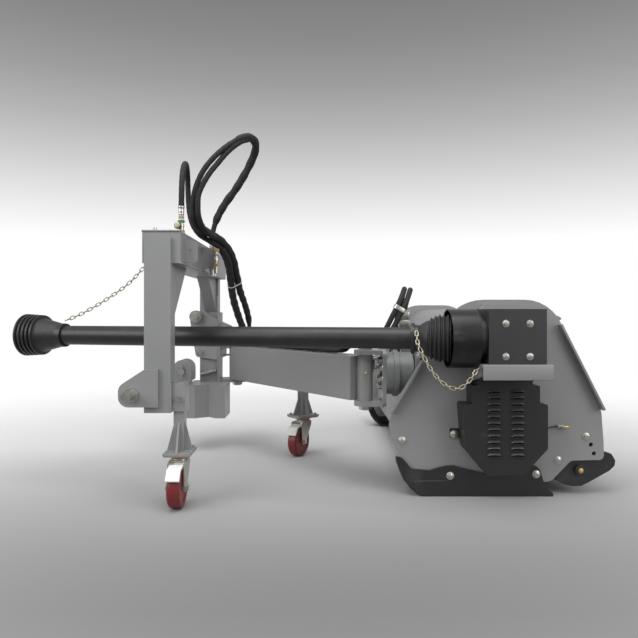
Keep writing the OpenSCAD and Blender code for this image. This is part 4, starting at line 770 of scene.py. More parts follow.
# Collars where the hoses cross the two arm pivots
collarSettings = {
    "frameHoseCollar": ("hitch_frame", "frame_hoses", (-0.983, 0.790), 0.5000, 0.5220),
    "armHoseCollarBase": ("swing_arm", "arm_hoses", (-0.983, 0.790), 0.4790, 0.4995),
    "armHoseCollarTip": ("swing_arm", "arm_hoses", (-0.449, 0.094), 0.4795, 0.4995),
    "hubHoseCollar": ("hub", "hub_hoses", (-0.449, 0.094), 0.5000, 0.5220),
}
for name, (body, node, at, low, high) in collarSettings.items():
    r = hoseSettings["bootRadius"]
    h = high - low
    profile = [
        (0, 0), (0, r - 0.004), (0.002, r - 0.001), (0.004, r), (h * 0.35, r), (h * 0.42, r - 0.0015),
        (h * 0.58, r - 0.0015), (h * 0.65, r), (h - 0.004, r),
        (h - 0.001, r - 0.002), (h, r - 0.005), (h, 0),
    ]
    mesh = turnedMesh(name, profile, (*at, low), (0, 0, 1), 64)
    obj = addObject(name, mesh, collarPlastic, body)
    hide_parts(node)


# Links of the two guard chains, made on points that follow the chain's route
def chainTree():
    m = Maker("chainLinks", [
        ("Points", "geometry"), ("Link length", "length"), ("Link width", "length"), ("Corner", "length"),
        ("Wire", "length"), ("Finish", "finish"),
    ])
    oval = m.node("GeometryNodeCurvePrimitiveQuadrilateral", {"mode": "RECTANGLE"}, {
        "Width": m.given("Link length"), "Height": m.given("Link width"),
    })
    bent = m.node("GeometryNodeFilletCurve", {"mode": "POLY"}, {
        "Curve": oval, "Count": 7, "Radius": m.given("Corner"), "Limit Radius": True,
    })
    ring = m.node("GeometryNodeCurvePrimitiveCircle", {"mode": "RADIUS"}, {
        "Resolution": 9, "Radius": m.given("Wire"),
    })
    link = m.node("GeometryNodeCurveToMesh", {}, {"Curve": bent, "Profile Curve": ring})
    m.close(m.scatter(link, Rotation=m.turned()))
    return m


def alongRoute(points, count):
    runs = [0.0]
    for a, b in zip(points, points[1:]):
        runs.append(runs[-1] + (b - a).length)
    total = runs[-1]
    out = []
    for k in range(count + 1):
        s = total * k / count
        i = min(max(j for j in range(len(runs)) if runs[j] <= s + 1e-9), len(points) - 2)
        t = (s - runs[i]) / max(runs[i + 1] - runs[i], 1e-9)
        out.append(points[i].lerp(points[i + 1], min(t, 1.0)))
    return out, total / count


chainSettings = {
    "frontChainLinks": {
        "node": "front_chain", "body": "hitch_frame", "size": 0.0165, "wire": 0.0018, "width": 0.0050,
        "route": metres([
            (-1520, 198, 570), (-1470, 206, 592), (-1400, 218, 634), (-1310, 232, 700), (-1250, 239, 765),
            (-1221, 240, 803),
        ]),
    },
    "rearChainLinks": {
        "node": "rear_chain", "body": "shaft_guard_rear", "otherEnd": "deck",
        "size": 0.0150, "wire": 0.0017, "width": 0.0047,
        "route": metres([
            (-311, -137, 540), (-311, -158, 506), (-306, -174, 488), (-286, -186, 444), (-259, -186, 406),
            (-240, -190, 388), (-215, -190, 374), (-190, -190, 374), (-168, -188, 390), (-150, -182, 412),
            (-138, -174, 427), (-128.8, -168.9, 432.8),
        ]),
    },
}
links = chainTree()
for name, s in chainSettings.items():
    route = splineThrough(s["route"], 6)
    count = round(pathLength(route) / s["size"])
    places, pitch = alongRoute(route, count)
    centres = [(a + b) / 2 for a, b in zip(places, places[1:])]
    side = Vector((0, 0, 1))
    turns = []
    for k, (a, b) in enumerate(zip(places, places[1:])):
        way = (b - a).normalized()
        side = (side - side.dot(way) * way).normalized()
        across = way.cross(side)
        first, second = (side, across) if k % 2 else (across, -side)
        turns.append(Matrix((way, first, second)).transposed().to_euler())
    mesh = links.bake(name, centres, {
        "Link length": pitch + 2 * s["wire"], "Link width": 2 * s["width"], "Corner": s["width"],
        "Wire": s["wire"], "Finish": chainZinc,
    }, turns)
    obj = addObject(name, mesh, None, None if "otherEnd" in s else s["body"], 60)
    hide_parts(s["node"])
    if "otherEnd" in s:
        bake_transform(obj)
print("chains linked")


# Tension spring of the linkage latch on the far leg
springSettings = {
    "coils": 16, "steps": 20, "radius": 0.008, "wire": 0.0013,
    "x0": -1.142, "x1": -1.070, "y": 0.734, "z": 0.320, "rise": 0.018, "wall": 0.745,
}
s = springSettings
count = s["coils"] * s["steps"]
coil = [
    Vector((s["x0"] - 0.004, s["wall"] - 0.0015, s["z"])),
    Vector((s["x0"] - 0.003, s["wall"] - 0.004, s["z"])),
]
for i in range(count + 1):
    a, t = math.tau * i / s["steps"], i / count
    y = s["y"] + s["radius"] * math.cos(a)
    z = s["z"] + s["rise"] * t + s["radius"] * math.sin(a)
    coil.append(Vector((s["x0"] + (s["x1"] - s["x0"]) * t, y, z)))
top = s["z"] + s["rise"]
coil += [
    Vector((s["x1"] + 0.003, s["wall"] - 0.004, top)), Vector((s["x1"] + 0.004, s["wall"] - 0.0015, top)),
]
spring = addObject(
    "latchSpringCoil", tubeMesh("latchSpringCoil", coil, lambda run: springSettings["wire"], 9), zincPlate,
    "hitch_frame", 60)
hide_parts("latch_spring")


# Ribbed rubber bell behind the collar
bellSettings = {
    "joint": (-0.215, -0.105, 0.517), "yaw": 167.0, "ribDepth": 0.0036, "ribPitch": 0.0130,
    "firstRib": 0.044, "start": 0.0528, "length": 0.0688, "steps": 96, "root": 0.0572, "flare": 0.0140,
    "flareOver": 0.030, "wall": 0.0034, "bore": 0.026,
    "dome": [
        (0.082, 0.039), (0.079, 0.0412), (0.075, 0.0440), (0.070, 0.0472), (0.065, 0.0502), (0.060, 0.0530),
        (0.055, 0.0556),
    ],
}
s = bellSettings
shaftWay = Vector((math.cos(math.radians(s["yaw"])), math.sin(math.radians(s["yaw"])), 0))
outer = list(s["dome"])
for i in range(s["steps"] + 1):
    t = s["start"] - i * s["length"] / s["steps"]
    base = s["root"] + min((s["start"] - t) / s["flareOver"], 1.0) * s["flare"]
    wave = math.cos(math.tau * (t - s["firstRib"]) / s["ribPitch"])
    outer.append((t, base + s["ribDepth"] * wave))
inner = [(t, r - s["wall"]) for t, r in reversed(outer[1:])] + [(0.078, s["bore"])]
profile = [(0.082, s["bore"])] + outer + inner
mesh = turnedMesh("rearBellRubber", profile, s["joint"], shaftWay, 144)
bell = addObject("rearBellRubber", mesh, bellRubber, "shaft_guard_rear", 50)
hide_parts("rear_bell")
print("spring and bell made")


# Quick couplers: bodies, hexagons, plugs and a cap, in the places of the plain solids
def hexProfile(bm, centre, low, high, across, chamfer):
    r = across / math.sqrt(3)
    x, y = centre
    levels = ((low, r - chamfer), (low + chamfer * 0.6, r), (high - chamfer * 0.6, r), (high, r - chamfer))
    turns = [math.tau * i / 6 for i in range(6)]
    rings = []
    for z, k in levels:
        rings.append([bm.verts.new((x + k * math.cos(a), y + k * math.sin(a), z)) for a in turns])
    for a, b in zip(rings, rings[1:]):
        for i in range(6):
            bm.faces.new((a[i], a[(i + 1) % 6], b[(i + 1) % 6], b[i]))
    bm.faces.new(list(reversed(rings[0])))
    bm.faces.new(rings[-1])


def hexMesh(name, pieces):
    bm = bmesh.new()
    for centre, low, high, across in pieces:
        hexProfile(bm, centre, low, high, across, 0.0008)
    return meshFrom(bm, name)


couplerSettings = {
    "beam": {"at": (-1.050, -0.030), "low": 0.851},
    "inner": {"at": (-1.000, 0.244), "low": 0.738, "top": 0.883},
    "outer": {"at": (-0.998, 0.280), "low": 0.738, "top": 0.866},
    "front": {"at": (-0.979, 0.2035), "low": 0.738},
    "body": 0.0098, "sides": 48, "plugLow": 0.7330, "cap": (0.8655, 0.8740),
    "strap": ((-0.9895, 0.2130, 0.752), (-0.9745, 0.2219, 0.862)),
    "knobAt": (-1.0520, -0.0360, 0.8750), "knobWay": (-0.35, -0.94, 0),
}


def upright(name, profile, at, low):
    return turnedMesh(name, profile, (*at, low), (0, 0, 1), couplerSettings["sides"])


def ringProfile(inner, high):
    return [
        (0, inner), (0, 0.0098), (0.0012, 0.0108), (high - 0.0012, 0.0108), (high, 0.0098), (high, inner),
    ]


def couplerBody(part):
    c, r = couplerSettings[part], couplerSettings["body"]
    if part == "beam":
        profile = [
            (0, 0), (0, 0.0100), (0.001, 0.0108), (0.006, 0.0108), (0.008, 0.0080), (0.022, 0.0080),
            (0.023, 0.0092), (0.030, 0.0092), (0.031, 0.0066), (0.0585, 0.0066), (0.0595, 0.0082),
            (0.062, 0.0090), (0.064, 0.0085), (0.068, 0.0085), (0.070, 0.0090), (0.074, 0.0090),
            (0.076, 0.0085), (0.080, 0.0085), (0.082, 0.0098),
            (0.087, 0.0104), (0.0885, 0.0100), (0.0885, 0),
        ]
    else:
        h = c["top"] - c["low"]
        profile = [
            (0, 0), (0, 0.0085), (0.002, r), (0.022, r), (0.023, 0.0122), (0.025, 0.0129), (0.029, 0.0129),
            (0.031, 0.0119), (0.034, 0.0119), (0.036, 0.0129), (0.046, 0.0129), (0.049, r), (0.0615, r),
            (0.0705, r), (0.071, 0.0122), (0.073, 0.0122), (0.074, r), (h - 0.028, r), (h - 0.027, 0.0122),
            (h - 0.024, 0.0129), (h - 0.018, 0.0129), (h - 0.016, 0.0120), (h - 0.012, 0.0120),
            (h - 0.010, 0.0129), (h - 0.003, 0.0129), (h - 0.001, 0.0118), (h - 0.001, 0),
        ]
    return upright("coupler", profile, c["at"], c["low"])


s = couplerSettings
beamAt, innerAt, outerAt, frontAt = (s[part]["at"] for part in ("beam", "inner", "outer", "front"))
meshes = [couplerBody(part) for part in ("beam", "inner", "outer")]
for at in (innerAt, outerAt):
    meshes.append(upright("plug", [
        (0, 0), (0, 0.0096), (0.0012, 0.0106), (0.006, 0.0106), (0.0082, 0.0092), (0.009, 0.007), (0.009, 0),
    ], at, s["plugLow"]))
couplers = addObject(
    "couplerBodies", joinMeshes("couplerBodies", meshes), zincPlate, "hitch_frame", 30)
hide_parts("quick_couplers")
addObject("couplerNuts", hexMesh("couplerNuts", [
    (beamAt, 0.8515, 0.8620, 0.0200), (beamAt, 0.9000, 0.9070, 0.0160), (innerAt, 0.8085, 0.8240, 0.0240),
    (innerAt, 0.8270, 0.8350, 0.0205), (outerAt, 0.8085, 0.8240, 0.0240), (innerAt, 0.7580, 0.7625, 0.0220),
]), brass, "hitch_frame", 25)
ring = upright("couplerRing", ringProfile(0.0068, 0.008), beamAt, 0.8870)
addObject("couplerRing", ring, tealPlastic, "hitch_frame", 30)
knob = turnedMesh("couplerKnob", [
    (-0.004, 0), (-0.004, 0.0055), (0.006, 0.0055), (0.007, 0.0095), (0.009, 0.0112), (0.019, 0.0112),
    (0.021, 0.0098), (0.0215, 0.006), (0.0225, 0.0055), (0.0225, 0),
], s["knobAt"], s["knobWay"], s["sides"])
addObject("couplerKnob", knob, knobMetal, "hitch_frame", 30)

# The coupler that hangs in front of the bracket, on its strap
strap = joinMeshes("frontCoupler", [
    upright("body", [
        (0, 0), (0, 0.0060), (0.002, 0.0072), (0.014, 0.0072), (0.015, 0.0088), (0.026, 0.0088),
        (0.027, 0.0070), (0.040, 0.0070), (0.041, 0.0092), (0.044, 0.0098), (0.058, 0.0098),
        (0.060, 0.0088), (0.064, 0.0088), (0.066, 0.0098), (0.078, 0.0098), (0.080, 0.0075),
        (0.100, 0.0075), (0.101, 0.0088), (0.120, 0.0088), (0.122, 0.0070), (0.122, 0),
    ], frontAt, s["front"]["low"]),
    boxMesh("strap", *s["strap"], 0.0015),
])
addObject("frontCoupler", strap, zincPlate, "hitch_frame", 30)
addObject("frontCouplerNuts", hexMesh("frontCouplerNuts", [
    (frontAt, 0.7640, 0.7750, 0.0200), (frontAt, 0.8180, 0.8290, 0.0200),
]), brass, "hitch_frame", 25)
ring = upright("frontCouplerRing", ringProfile(0.0070, 0.009), frontAt, 0.8400)
addObject("frontCouplerRing", ring, tealPlastic, "hitch_frame", 30)

# Blue dust cap on the outer coupler
low, high = s["cap"]
h = high - low
cap = upright("couplerCaps", [
    (0, 0), (0, 0.0116), (0.0012, 0.0126), (h - 0.003, 0.0126), (h - 0.0008, 0.0112), (h, 0.009), (h, 0),
], outerAt, low)
addObject("couplerCaps", cap, bluePlastic, "hitch_frame", 30)
print("couplers made")


# Weld beads: overlapping ripples set along the joints between plates
def beadTree():
    m = Maker("weldBeads", [
        ("Points", "geometry"), ("Ripple", "length"), ("Flatten", "vector"), ("Finish", "finish"),
    ])
    drop = m.node("GeometryNodeMeshIcoSphere", {}, {"Radius": m.given("Ripple"), "Subdivisions": 2})
    m.close(m.scatter(drop, Rotation=m.turned(), Scale=m.given("Flatten")))
    return m


beadSettings = {
    "ripple": 0.0034, "step": 0.0026, "flatten": (0.62, 1.0, 1.0),
    "runs": {
        "hitch_frame": [
            ((-1.090, -0.058, 0.561), (-1.090, 0.138, 0.750)),
            ((-1.036, -0.100, 0.751), (-1.036, 0.700, 0.751)),
            ((-1.064, -0.112, 0.292), (-1.064, -0.112, 0.377)),
            ((-1.155, -0.101, 0.851), (-1.036, -0.101, 0.851)),
            ((-1.036, -0.046, 0.760), (-1.036, -0.046, 0.830)),
            ((-1.036, 0.222, 0.755), (-1.036, 0.222, 0.832)),
            ((-1.064, 0.733, 0.309), (-1.064, 0.733, 0.440)),
            ((-1.064, 0.722, 0.471), (-1.064, 0.722, 0.560)),
        ],
        "hub": [
            ((-0.394, 0.050, 0.466), (-0.394, 0.140, 0.466)),
            ((-0.394, 0.048, 0.297), (-0.394, 0.048, 0.280)),
        ],
        "deck": [
            ((-0.286, 0.028, 0.470), (-0.286, 0.028, 0.330)),
            ((-0.274, 0.028, 0.446), (-0.240, 0.028, 0.470)),
            ((-0.370, 0.0102, 0.262), (-0.300, 0.0102, 0.262)),
        ],
    },
}
beads = beadTree()
for body, runs in beadSettings["runs"].items():
    points, turns = [], []
    for a, b in runs:
        a, b = Vector(a), Vector(b)
        n = max(2, round((b - a).length / beadSettings["step"]))
        turn = (b - a).to_track_quat("X", "Z").to_euler()
        for k in range(n + 1):
            points.append(a.lerp(b, k / n))
            turns.append(turn)
    mesh = beads.bake(body + "WeldBeads", points, {
        "Ripple": beadSettings["ripple"], "Flatten": beadSettings["flatten"],
        "Finish": deckPaint if body == "deck" else framePaint,
    }, turns)
    addObject(body + "WeldBeads", mesh, None, body, 80)
print("welds run")


# Bands that hold the hoses
def bandMesh(name, ringPoints, width, thick, way):
    way = Vector(way).normalized()
    n = len(ringPoints)
    centre = sum(ringPoints, Vector()) / n
    bm = bmesh.new()
    rows = []
    for p in ringPoints:
        out = p - centre
        out = (out - out.dot(way) * way).normalized()
        rows.append([
            bm.verts.new(p - way * width / 2), bm.verts.new(p - way * width / 2 + out * thick * 0.8),
            bm.verts.new(p - way * width * 0.36 + out * thick),
            bm.verts.new(p + way * width * 0.36 + out * thick),
            bm.verts.new(p + way * width / 2 + out * thick * 0.8), bm.verts.new(p + way * width / 2),
        ])
    for i in range(n):
        a, b = rows[i], rows[(i + 1) % n]
        for k in range(6):
            bm.faces.new((a[k], a[(k + 1) % 6], b[(k + 1) % 6], b[k]))
    return meshFrom(bm, name, outward=True)


def roundPair(a, b, way, reach, count=48):
    way = Vector(way).normalized()
    along = b - a
    along = (along - along.dot(way) * way).normalized()
    up = way.cross(along)
    out = []
    for k in range(count):
        t = math.tau * k / count
        x, y = math.cos(t), math.sin(t)
        centre = b if x > 0.0 else a
        out.append(centre + along * reach * x + up * reach * y)
    return out


def nearest(points, target):
    target = Vector(target)
    i = min(range(1, len(points) - 1), key=lambda k: (points[k] - target).length)
    return points[i], (points[i + 1] - points[i - 1]).normalized()


bandSettings = {
    "clip": {
        "name": "hoseClipBand", "body": "hub", "slot": "zinc_plate", "finish": zincPlate,
        "reach": 0.0101, "width": 0.014, "thick": 0.0018, "spots": [(-0.331, 0.095, 0.610)],
        "hoses": hubHosePoints,
    },
    "frame": {
        "name": "frameHoseTies", "body": "hitch_frame", "slot": "guard_plastic", "finish": whitePlastic,
        "reach": 0.0160, "width": 0.005, "thick": 0.0014, "spots": [(-0.956, 0.420, 0.706)],
        "hoses": [framePoints["frameHoseA"], framePoints["frameHoseB"]],
    },
    "arm": {
        "name": "armHoseTies", "body": "swing_arm", "slot": "guard_plastic", "finish": collarPlastic,
        "reach": 0.0099, "width": 0.006, "thick": 0.0014,
        "spots": [(-0.80, 0.56, 0.461), (-0.62, 0.31, 0.461)], "hoses": armHosePoints,
    },
}
for kind, s in bandSettings.items():
    meshes = []
    for spot in s["spots"]:
        a, way = nearest(s["hoses"][0], spot)
        b, wayB = nearest(s["hoses"][1], a)
        if kind == "frame":
            way = way + wayB
        meshes.append(bandMesh("band", roundPair(a, b, way, s["reach"]), s["width"], s["thick"], way))
    addObject(s["name"], joinMeshes(s["name"], meshes), s["finish"], s["body"], 30)
print("bands on")


# Clip block of the hoses on the tilt motor
clipSettings = {"x": (-0.3300, -0.2940), "y": (0.1070, 0.1390), "z": (0.5470, 0.6040)}
x, y, z = clipSettings["x"], clipSettings["y"], clipSettings["z"]
clip = joinMeshes("hoseClipBlock", [
    boxMesh("clip", (x[0], y[0], z[0]), (x[1], y[1], z[0] + 0.026), 0.003),
    boxMesh("clip", (x[0], y[0], z[0] + 0.0275), (x[1], y[1], z[1]), 0.004),
    boxMesh(
        "clip", (x[0] - 0.001, y[0] - 0.001, z[1] - 0.001),
        (x[1] + 0.001, y[1] + 0.001, z[1] + 0.003), 0.001,
    ),
])
addObject("hoseClipBlock", clip, zincPlate, "hub", 30)


# Bolt heads of the deck, one tree for every size
def boltTree():
    m = Maker("boltHeads", [
        ("Points", "geometry"), ("Radius", "length"), ("Finish", "finish"),
    ])
    r = m.given("Radius")

    def scaled(k):
        return m.node("ShaderNodeMath", {"operation": "MULTIPLY"}, {0: r, 1: k})

    def disc(wide, deep, low, sides):
        body = m.node("GeometryNodeMeshCylinder", {}, {
            "Vertices": sides, "Side Segments": 1, "Radius": scaled(wide), "Depth": scaled(deep),
        })
        up = m.node("ShaderNodeCombineXYZ", {}, {"Z": scaled(low + deep / 2)})
        return m.node("GeometryNodeTransform", {}, {"Geometry": body, "Translation": up})

    def cone(wide, narrow, deep, low, sides):
        body = m.node("GeometryNodeMeshCone", {}, {
            "Vertices": sides, "Radius Bottom": scaled(wide),
            "Radius Top": scaled(narrow), "Depth": scaled(deep),
        })
        up = m.node("ShaderNodeCombineXYZ", {}, {"Z": scaled(low)})
        return m.node("GeometryNodeTransform", {}, {"Geometry": body, "Translation": up})

    parts = [
        disc(1.62, 0.16, 0.0, 40), cone(1.38, 1.10, 0.16, 0.16, 40), disc(1.08, 0.62, 0.24, 6),
        cone(1.08, 0.86, 0.10, 0.86, 6), cone(0.80, 0.60, 0.10, 0.94, 24),
    ]
    whole = m.tree.nodes.new("GeometryNodeJoinGeometry")
    for part in reversed(parts):
        m.tree.links.new(part, whole.inputs[0])
    m.close(m.scatter(whole.outputs[0], Rotation=m.turned()))
    return m


boltSettings = {
    "radius": 0.0080, "guardRadius": 0.0068, "far": 1.250, "turn": 0.7, "axle": (0.247, 0, 0.082),
    "near": [
        (-0.336, 0.0, 0.181), (-0.167, -0.004, 0.201), (-0.181, -0.012, 0.068), (0.099, -0.012, 0.073),
        (0.174, 0.0, 0.116), (0.266, 0.0, 0.194),
    ],
    "nearOnly": (-0.167, -0.004, 0.201),
    "guard": [
        (-0.053, -0.180, 0.467), (-0.053, -0.180, 0.565), (0.019, -0.180, 0.467), (0.019, -0.180, 0.565),
    ],
}
bolts = boltTree()
s = boltSettings
nearSpots = [(p, -1) for p in s["near"]]
farSpots = [((p[0], s["far"] - p[1], p[2]), 1) for p in s["near"] if p != s["nearOnly"]]
guardSpots = [(p, -1) for p in s["guard"]]
meshes = []
for radius, spots in ((s["radius"], nearSpots + farSpots), (s["guardRadius"], guardSpots)):
    turns = []
    for k, (p, way) in enumerate(spots):
        facing = Matrix.Rotation(math.pi / 2 if way < 0 else -math.pi / 2, 3, "X")
        turns.append((facing @ Matrix.Rotation(s["turn"] * k, 3, "Z")).to_euler())
    values = {"Radius": radius, "Finish": zincPlate}
    meshes.append(bolts.bake("bolts", [p for p, way in spots], values, turns))
heads = joinMeshes("deckBoltHeads", meshes)
deckBolts = addObject("deckBoltHeads", heads, zincPlate, "deck", 25)
axleEnd = turnedMesh("rollerAxleEnd", [
    (-0.010, 0), (-0.010, 0.0164), (0.002, 0.0164), (0.003, 0.0150), (0.003, 0.0120), (0.0035, 0.0118),
    (0.0036, 0),
], s["axle"], (0, -1, 0), 48)
axleEnd = addObject("rollerAxleEnd", axleEnd, blackPaint, "deck", 30)
axlePlug = turnedMesh("rollerAxlePlug", [
    (0.002, 0), (0.002, 0.0088), (0.006, 0.0085), (0.0065, 0.0062), (0.010, 0.0060), (0.0105, 0.0038),
    (0.014, 0.0035), (0.015, 0.0025), (0.015, 0),
], s["axle"], (0, -1, 0), 48)
addObject("rollerAxlePlug", axlePlug, brass, "deck", 30)
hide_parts("deck_bolts")
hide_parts("deck_bolts")
print("bolts in")


# Pressed louvres of the belt guard: one hood, repeated over the slots
louvreSettings = {
    "half": 0.0225, "out": 0.0118, "high": 0.0152, "wall": 0.0022, "square": 4, "steps": 14, "mouth": 0.62,
    "columns": (-0.056, 0.018), "rows": 11, "first": 0.1418, "pitch": 0.020, "face": -0.072,
    "proud": 0.0004,
}


def louvreMesh(s):
    bm = bmesh.new()
    skins = []
    for cut in (0.0, s["wall"]):
        half, out, high = s["half"] - cut, s["out"] - cut, s["high"] - cut
        grid = []
        for i in range(s["steps"] + 1):
            a = s["mouth"] + (math.pi / 2 - s["mouth"]) * i / s["steps"]
            line = []
            for k in range(2 * s["steps"] + 1):
                b = -1 + k / s["steps"]
                x = math.copysign(abs(math.sin(b * math.pi / 2)) ** (2 / s["square"] + 0.5), b)
                lift = max(0.0, 1 - abs(x) ** s["square"]) ** 0.5
                line.append(bm.verts.new((x * half, -out * lift * math.cos(a), high * lift * math.sin(a))))
            grid.append(line)
        skins.append(grid)
    for n, grid in enumerate(skins):
        for i in range(s["steps"]):
            for k in range(2 * s["steps"]):
                quad = (grid[i][k], grid[i][k + 1], grid[i + 1][k + 1], grid[i + 1][k])
                bm.faces.new(quad if n == 0 else tuple(reversed(quad)))
    for i in (0, s["steps"]):
        for k in range(2 * s["steps"]):
            quad = (skins[0][i][k], skins[1][i][k], skins[1][i][k + 1], skins[0][i][k + 1])
            bm.faces.new(quad if i == 0 else tuple(reversed(quad)))
    bmesh.ops.remove_doubles(bm, verts=bm.verts, dist=1e-6)
    return meshFrom(bm, "louvre", outward=True)


m = Maker("louvreRows", [("Points", "geometry"), ("Louvre", "object"), ("Finish", "finish")])
m.close(m.scatter(m.node(
    "GeometryNodeObjectInfo", {"transform_space": "ORIGINAL"}, {"Object": m.given("Louvre")}, out="Geometry"
)))
s = louvreSettings
louvre = bpy.data.objects.new("louvre", louvreMesh(s))
scene.collection.objects.link(louvre)
places = [
    (x, s["face"] + s["proud"], s["first"] + i * s["pitch"]) for x in s["columns"] for i in range(s["rows"])
]
# The louvres take the lighter paint, a painted highlight on their hoods
mesh = m.bake("guardLouvres", places, {"Louvre": louvre, "Finish": louvreHighlightPaint})
bpy.data.objects.remove(louvre)
addObject("guardLouvres", mesh, None, "deck", 40)
print("louvres pressed")


# Bent edges of the near end plate and of its shelf
def barMesh(name, a, b, thick, y0, y1):
    a, b = Vector((a[0], 0, a[1])), Vector((b[0], 0, b[1]))
    way = (b - a).normalized()
    side = Vector((-way.z, 0, way.x)) * thick / 2
    bm = bmesh.new()
    corners = [a - side, a + side, b + side, b - side]
    rings = [[bm.verts.new((p.x, y, p.z)) for p in corners] for y in (y0, y1)]
    for k in range(4):
        n = (k + 1) % 4
        bm.faces.new((rings[0][k], rings[0][n], rings[1][n], rings[1][k]))
    bm.faces.new(list(reversed(rings[0])))
    bm.faces.new(rings[1])
    bmesh.ops.recalc_face_normals(bm, faces=bm.faces)
    bmesh.ops.bevel(bm, geom=bm.edges[:], offset=0.0014, segments=2, affect="EDGES", profile=0.5)
    return meshFrom(bm, name)


edgeSettings = {
    "thick": 0.008, "out": -0.026, "into": 0.0006,
    "front": ((-0.271, 0.440), (-0.374, 0.272)), "rear": ((0.176, 0.560), (0.316, 0.282)),
    "lip": ((-0.121, -0.1860, 0.396), (0.088, -0.1790, 0.4425)),
}
s = edgeSettings
edges = joinMeshes("endPlateEdges", [
    barMesh("edge", *s[end], s["thick"], s["out"], s["into"]) for end in ("front", "rear")
])
addObject("endPlateEdges", edges, deckPaint, "deck", 30)
addObject("shelfLip", boxMesh("shelfLip", *s["lip"], 0.0025), deckPaint, "deck", 30)


# Grease pipe from behind the belt guard to its fitting
pipeSettings = {
    "radius": 0.0024,
    "route": [
        (0.108, -0.020, 0.221), (0.128, -0.016, 0.222), (0.150, -0.012, 0.226), (0.172, -0.011, 0.229),
    ],
    "endWay": (1, 0, -0.12),
}
route = splineThrough(pipeSettings["route"], 8)
pipe = tubeMesh("greasePipe", route, lambda run: pipeSettings["radius"], 12)
addObject("greasePipe", pipe, collarPlastic, "deck", 60)
endAt, endTo = Vector(pipeSettings["route"][-1]), Vector(pipeSettings["endWay"]).normalized()
fitting = joinMeshes("greaseFitting", [
    turnedMesh("nut", [
        (-0.004, 0), (-0.004, 0.0052), (0.005, 0.0052), (0.0055, 0.0040), (0.010, 0.0040),
        (0.0105, 0.0078), (0.0145, 0.0078), (0.0150, 0.0046), (0.018, 0.0046), (0.018, 0),
    ], endAt, endTo, 6),
    boxMesh(
        "foot", (endAt.x + 0.008, -0.011, endAt.z - 0.010),
        (endAt.x + 0.011, 0.0006, endAt.z + 0.004), 0.0008,
    ),
])
addObject("greaseFitting", fitting, zincPlate, "deck", 30)
tip = turnedMesh("greaseTip", [
    (0.016, 0), (0.016, 0.0042), (0.022, 0.0042), (0.0225, 0.0054), (0.028, 0.0054), (0.0285, 0.0030),
    (0.032, 0.0030), (0.0335, 0.0036), (0.036, 0.0022), (0.036, 0),
], endAt, endTo, 24)
addObject("greaseTip", tip, brass, "deck", 30)


# Dust seals round the crowns of the castors
sealSettings = {"low": 0.1455, "high": 0.1520, "inner": 0.0262, "outer": 0.0286}
s = sealSettings
for side in ("near", "far"):
    h = s["high"] - s["low"]
    seal = turnedMesh(side + "CastorSeal", [
        (0, s["inner"]), (0, s["outer"] - 0.0008), (0.0010, s["outer"]), (h - 0.001, s["outer"]),
        (h, s["outer"] - 0.0008), (h, s["inner"]),
    ], (*castorSettings[side]["at"], s["low"]), (0, 0, 1), 64)
    addObject(side + "CastorSeal", seal, sealPlastic, side + "_castor", 30)


# Grease nipples on the pivot tubes and on the belt guard
def nipple(at, way):
    return turnedMesh("nipple", [
        (-0.002, 0), (-0.002, 0.0048), (0.003, 0.0048), (0.0034, 0.0034), (0.006, 0.0034), (0.007, 0.0024),
        (0.0085, 0.0024), (0.0095, 0.0031), (0.0108, 0.0031), (0.0122, 0.0018), (0.0122, 0),
    ], at, way, 24)


nippleSettings = {
    "swing_arm": [((-0.449, 0.068, 0.392), (0, -1, 0)), ((-0.983, 0.754, 0.380), (0, -1, 0))],
    "deck": [((-0.165, -0.004, 0.205), (0, -1, 0))],
}
for body, spots in nippleSettings.items():
    mesh = joinMeshes(body + "Nipples", [nipple(at, way) for at, way in spots])
    addObject(body + "Nipples", mesh, brass, body, 30)
print("small fittings made")


# Pale floor, grey near the camera as painted shade, brightening to white far off by a painted glow that only
# the camera sees, and the sky behind it
floorSettings = {
    "half": 60.0, "centre": (-0.6, 0.35, 0), "glowFrom": 0.8, "glowTo": 3.1, "toneShift": 1.0, "toneSpan": 4,
    "tones": ((0.0, 0.15), (0.0625, 0.175), (0.125, 0.235), (0.25, 0.37), (0.41, 0.57), (0.7, 0.72)),
}


def greyStops(pairs):
    return {"stops": [(at, (tone, tone, tone, 1)) for at, tone in pairs]}


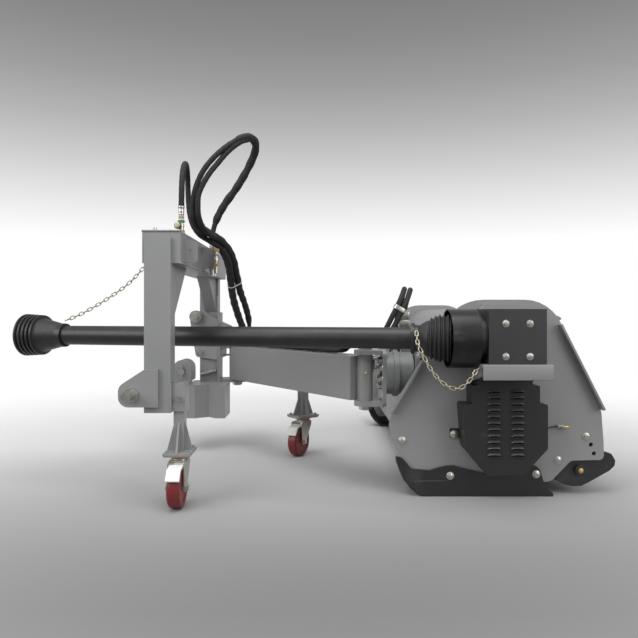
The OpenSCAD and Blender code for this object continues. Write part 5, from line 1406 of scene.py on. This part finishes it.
s = floorSettings
half = s["half"]
bm = bmesh.new()
corners = ((-half, -half, 0), (half, -half, 0), (half, half, 0), (-half, half, 0))
bm.faces.new([bm.verts.new(p) for p in corners])
floorMesh = meshFrom(bm, "floor")
floor = bpy.data.objects.new("floor", floorMesh)
scene.collection.objects.link(floor)
f = Finish(bpy.data.materials.new("floorPaper"))
off = f.node("ShaderNodeVectorMath", {"operation": "SUBTRACT"}, {0: f.place(), 1: s["centre"]})
reach = f.node("ShaderNodeVectorMath", {"operation": "LENGTH"}, {0: off}, out="Value")
y = f.axes(f.place())[1]
# The floor's tones darken towards the camera: painted shade
shade = f.node("ShaderNodeValToRGB", greyStops(s["tones"]), {"Fac": (y + s["toneShift"]) / s["toneSpan"]})
paper = f.node("ShaderNodeBsdfDiffuse", {}, {"Color": shade})
# The white glow far off, seen only by camera rays, is painted light
glow = f.node("ShaderNodeEmission", {}, {"Color": (1, 1, 1, 1), "Strength": 1.0})
rays = f.node("ShaderNodeLightPath", out="Is Camera Ray")
share = f.step(reach, s["glowFrom"], s["glowTo"]) * rays
floorMesh.materials.append(f.close(f.node("ShaderNodeMixShader", {}, {0: share, 1: paper, 2: glow})))

# The sky that the camera sees is graded, the one that lights the object is even
skySettings = {
    "light": 0.52,
    "tones": (
        (0.0, 1.0), (0.12, 1.0), (0.17, 0.84), (0.24, 0.62), (0.30, 0.46), (0.36, 0.34), (0.42, 0.26),
        (0.48, 0.208),
    ),
}
sky = Finish(bpy.data.worlds.new("studio"))
scene.world = sky.owner
up = sky.axes(sky.node("ShaderNodeTexCoord", out="Generated"))[2]
shade = sky.node("ShaderNodeValToRGB", greyStops(skySettings["tones"]), {"Fac": up})
shown = sky.node("ShaderNodeBackground", {}, {"Color": shade})
lit = sky.node("ShaderNodeBackground", {}, {"Color": (1, 1, 1, 1), "Strength": skySettings["light"]})
rays = sky.node("ShaderNodeLightPath", out="Is Camera Ray")
sky.close(sky.node("ShaderNodeMixShader", {}, {0: rays, 1: lit, 2: shown}), "ShaderNodeOutputWorld")

lampSettings = {
    "over": {"at": (-0.9, -0.9, 4.2), "to": (-0.6, 0.4, 0.4), "size": 3.2, "power": 125},
    "left": {"at": (-4.2, -2.4, 2.6), "to": (-0.6, 0.3, 0.5), "size": 2.8, "power": 100},
    "right": {"at": (3.2, -3.0, 2.2), "to": (-0.2, 0.2, 0.5), "size": 2.8, "power": 90},
}
for name, s in lampSettings.items():
    data = bpy.data.lights.new(name, "AREA")
    data.shape = "SQUARE"
    data.size = s["size"]
    data.energy = s["power"]
    lamp = bpy.data.objects.new(name, data)
    lamp.location = s["at"]
    lamp.rotation_euler = (Vector(s["to"]) - Vector(s["at"])).to_track_quat("-Z", "Y").to_euler()
    scene.collection.objects.link(lamp)
scene.view_settings.view_transform = "Standard"
print("floor, sky and lamps set")
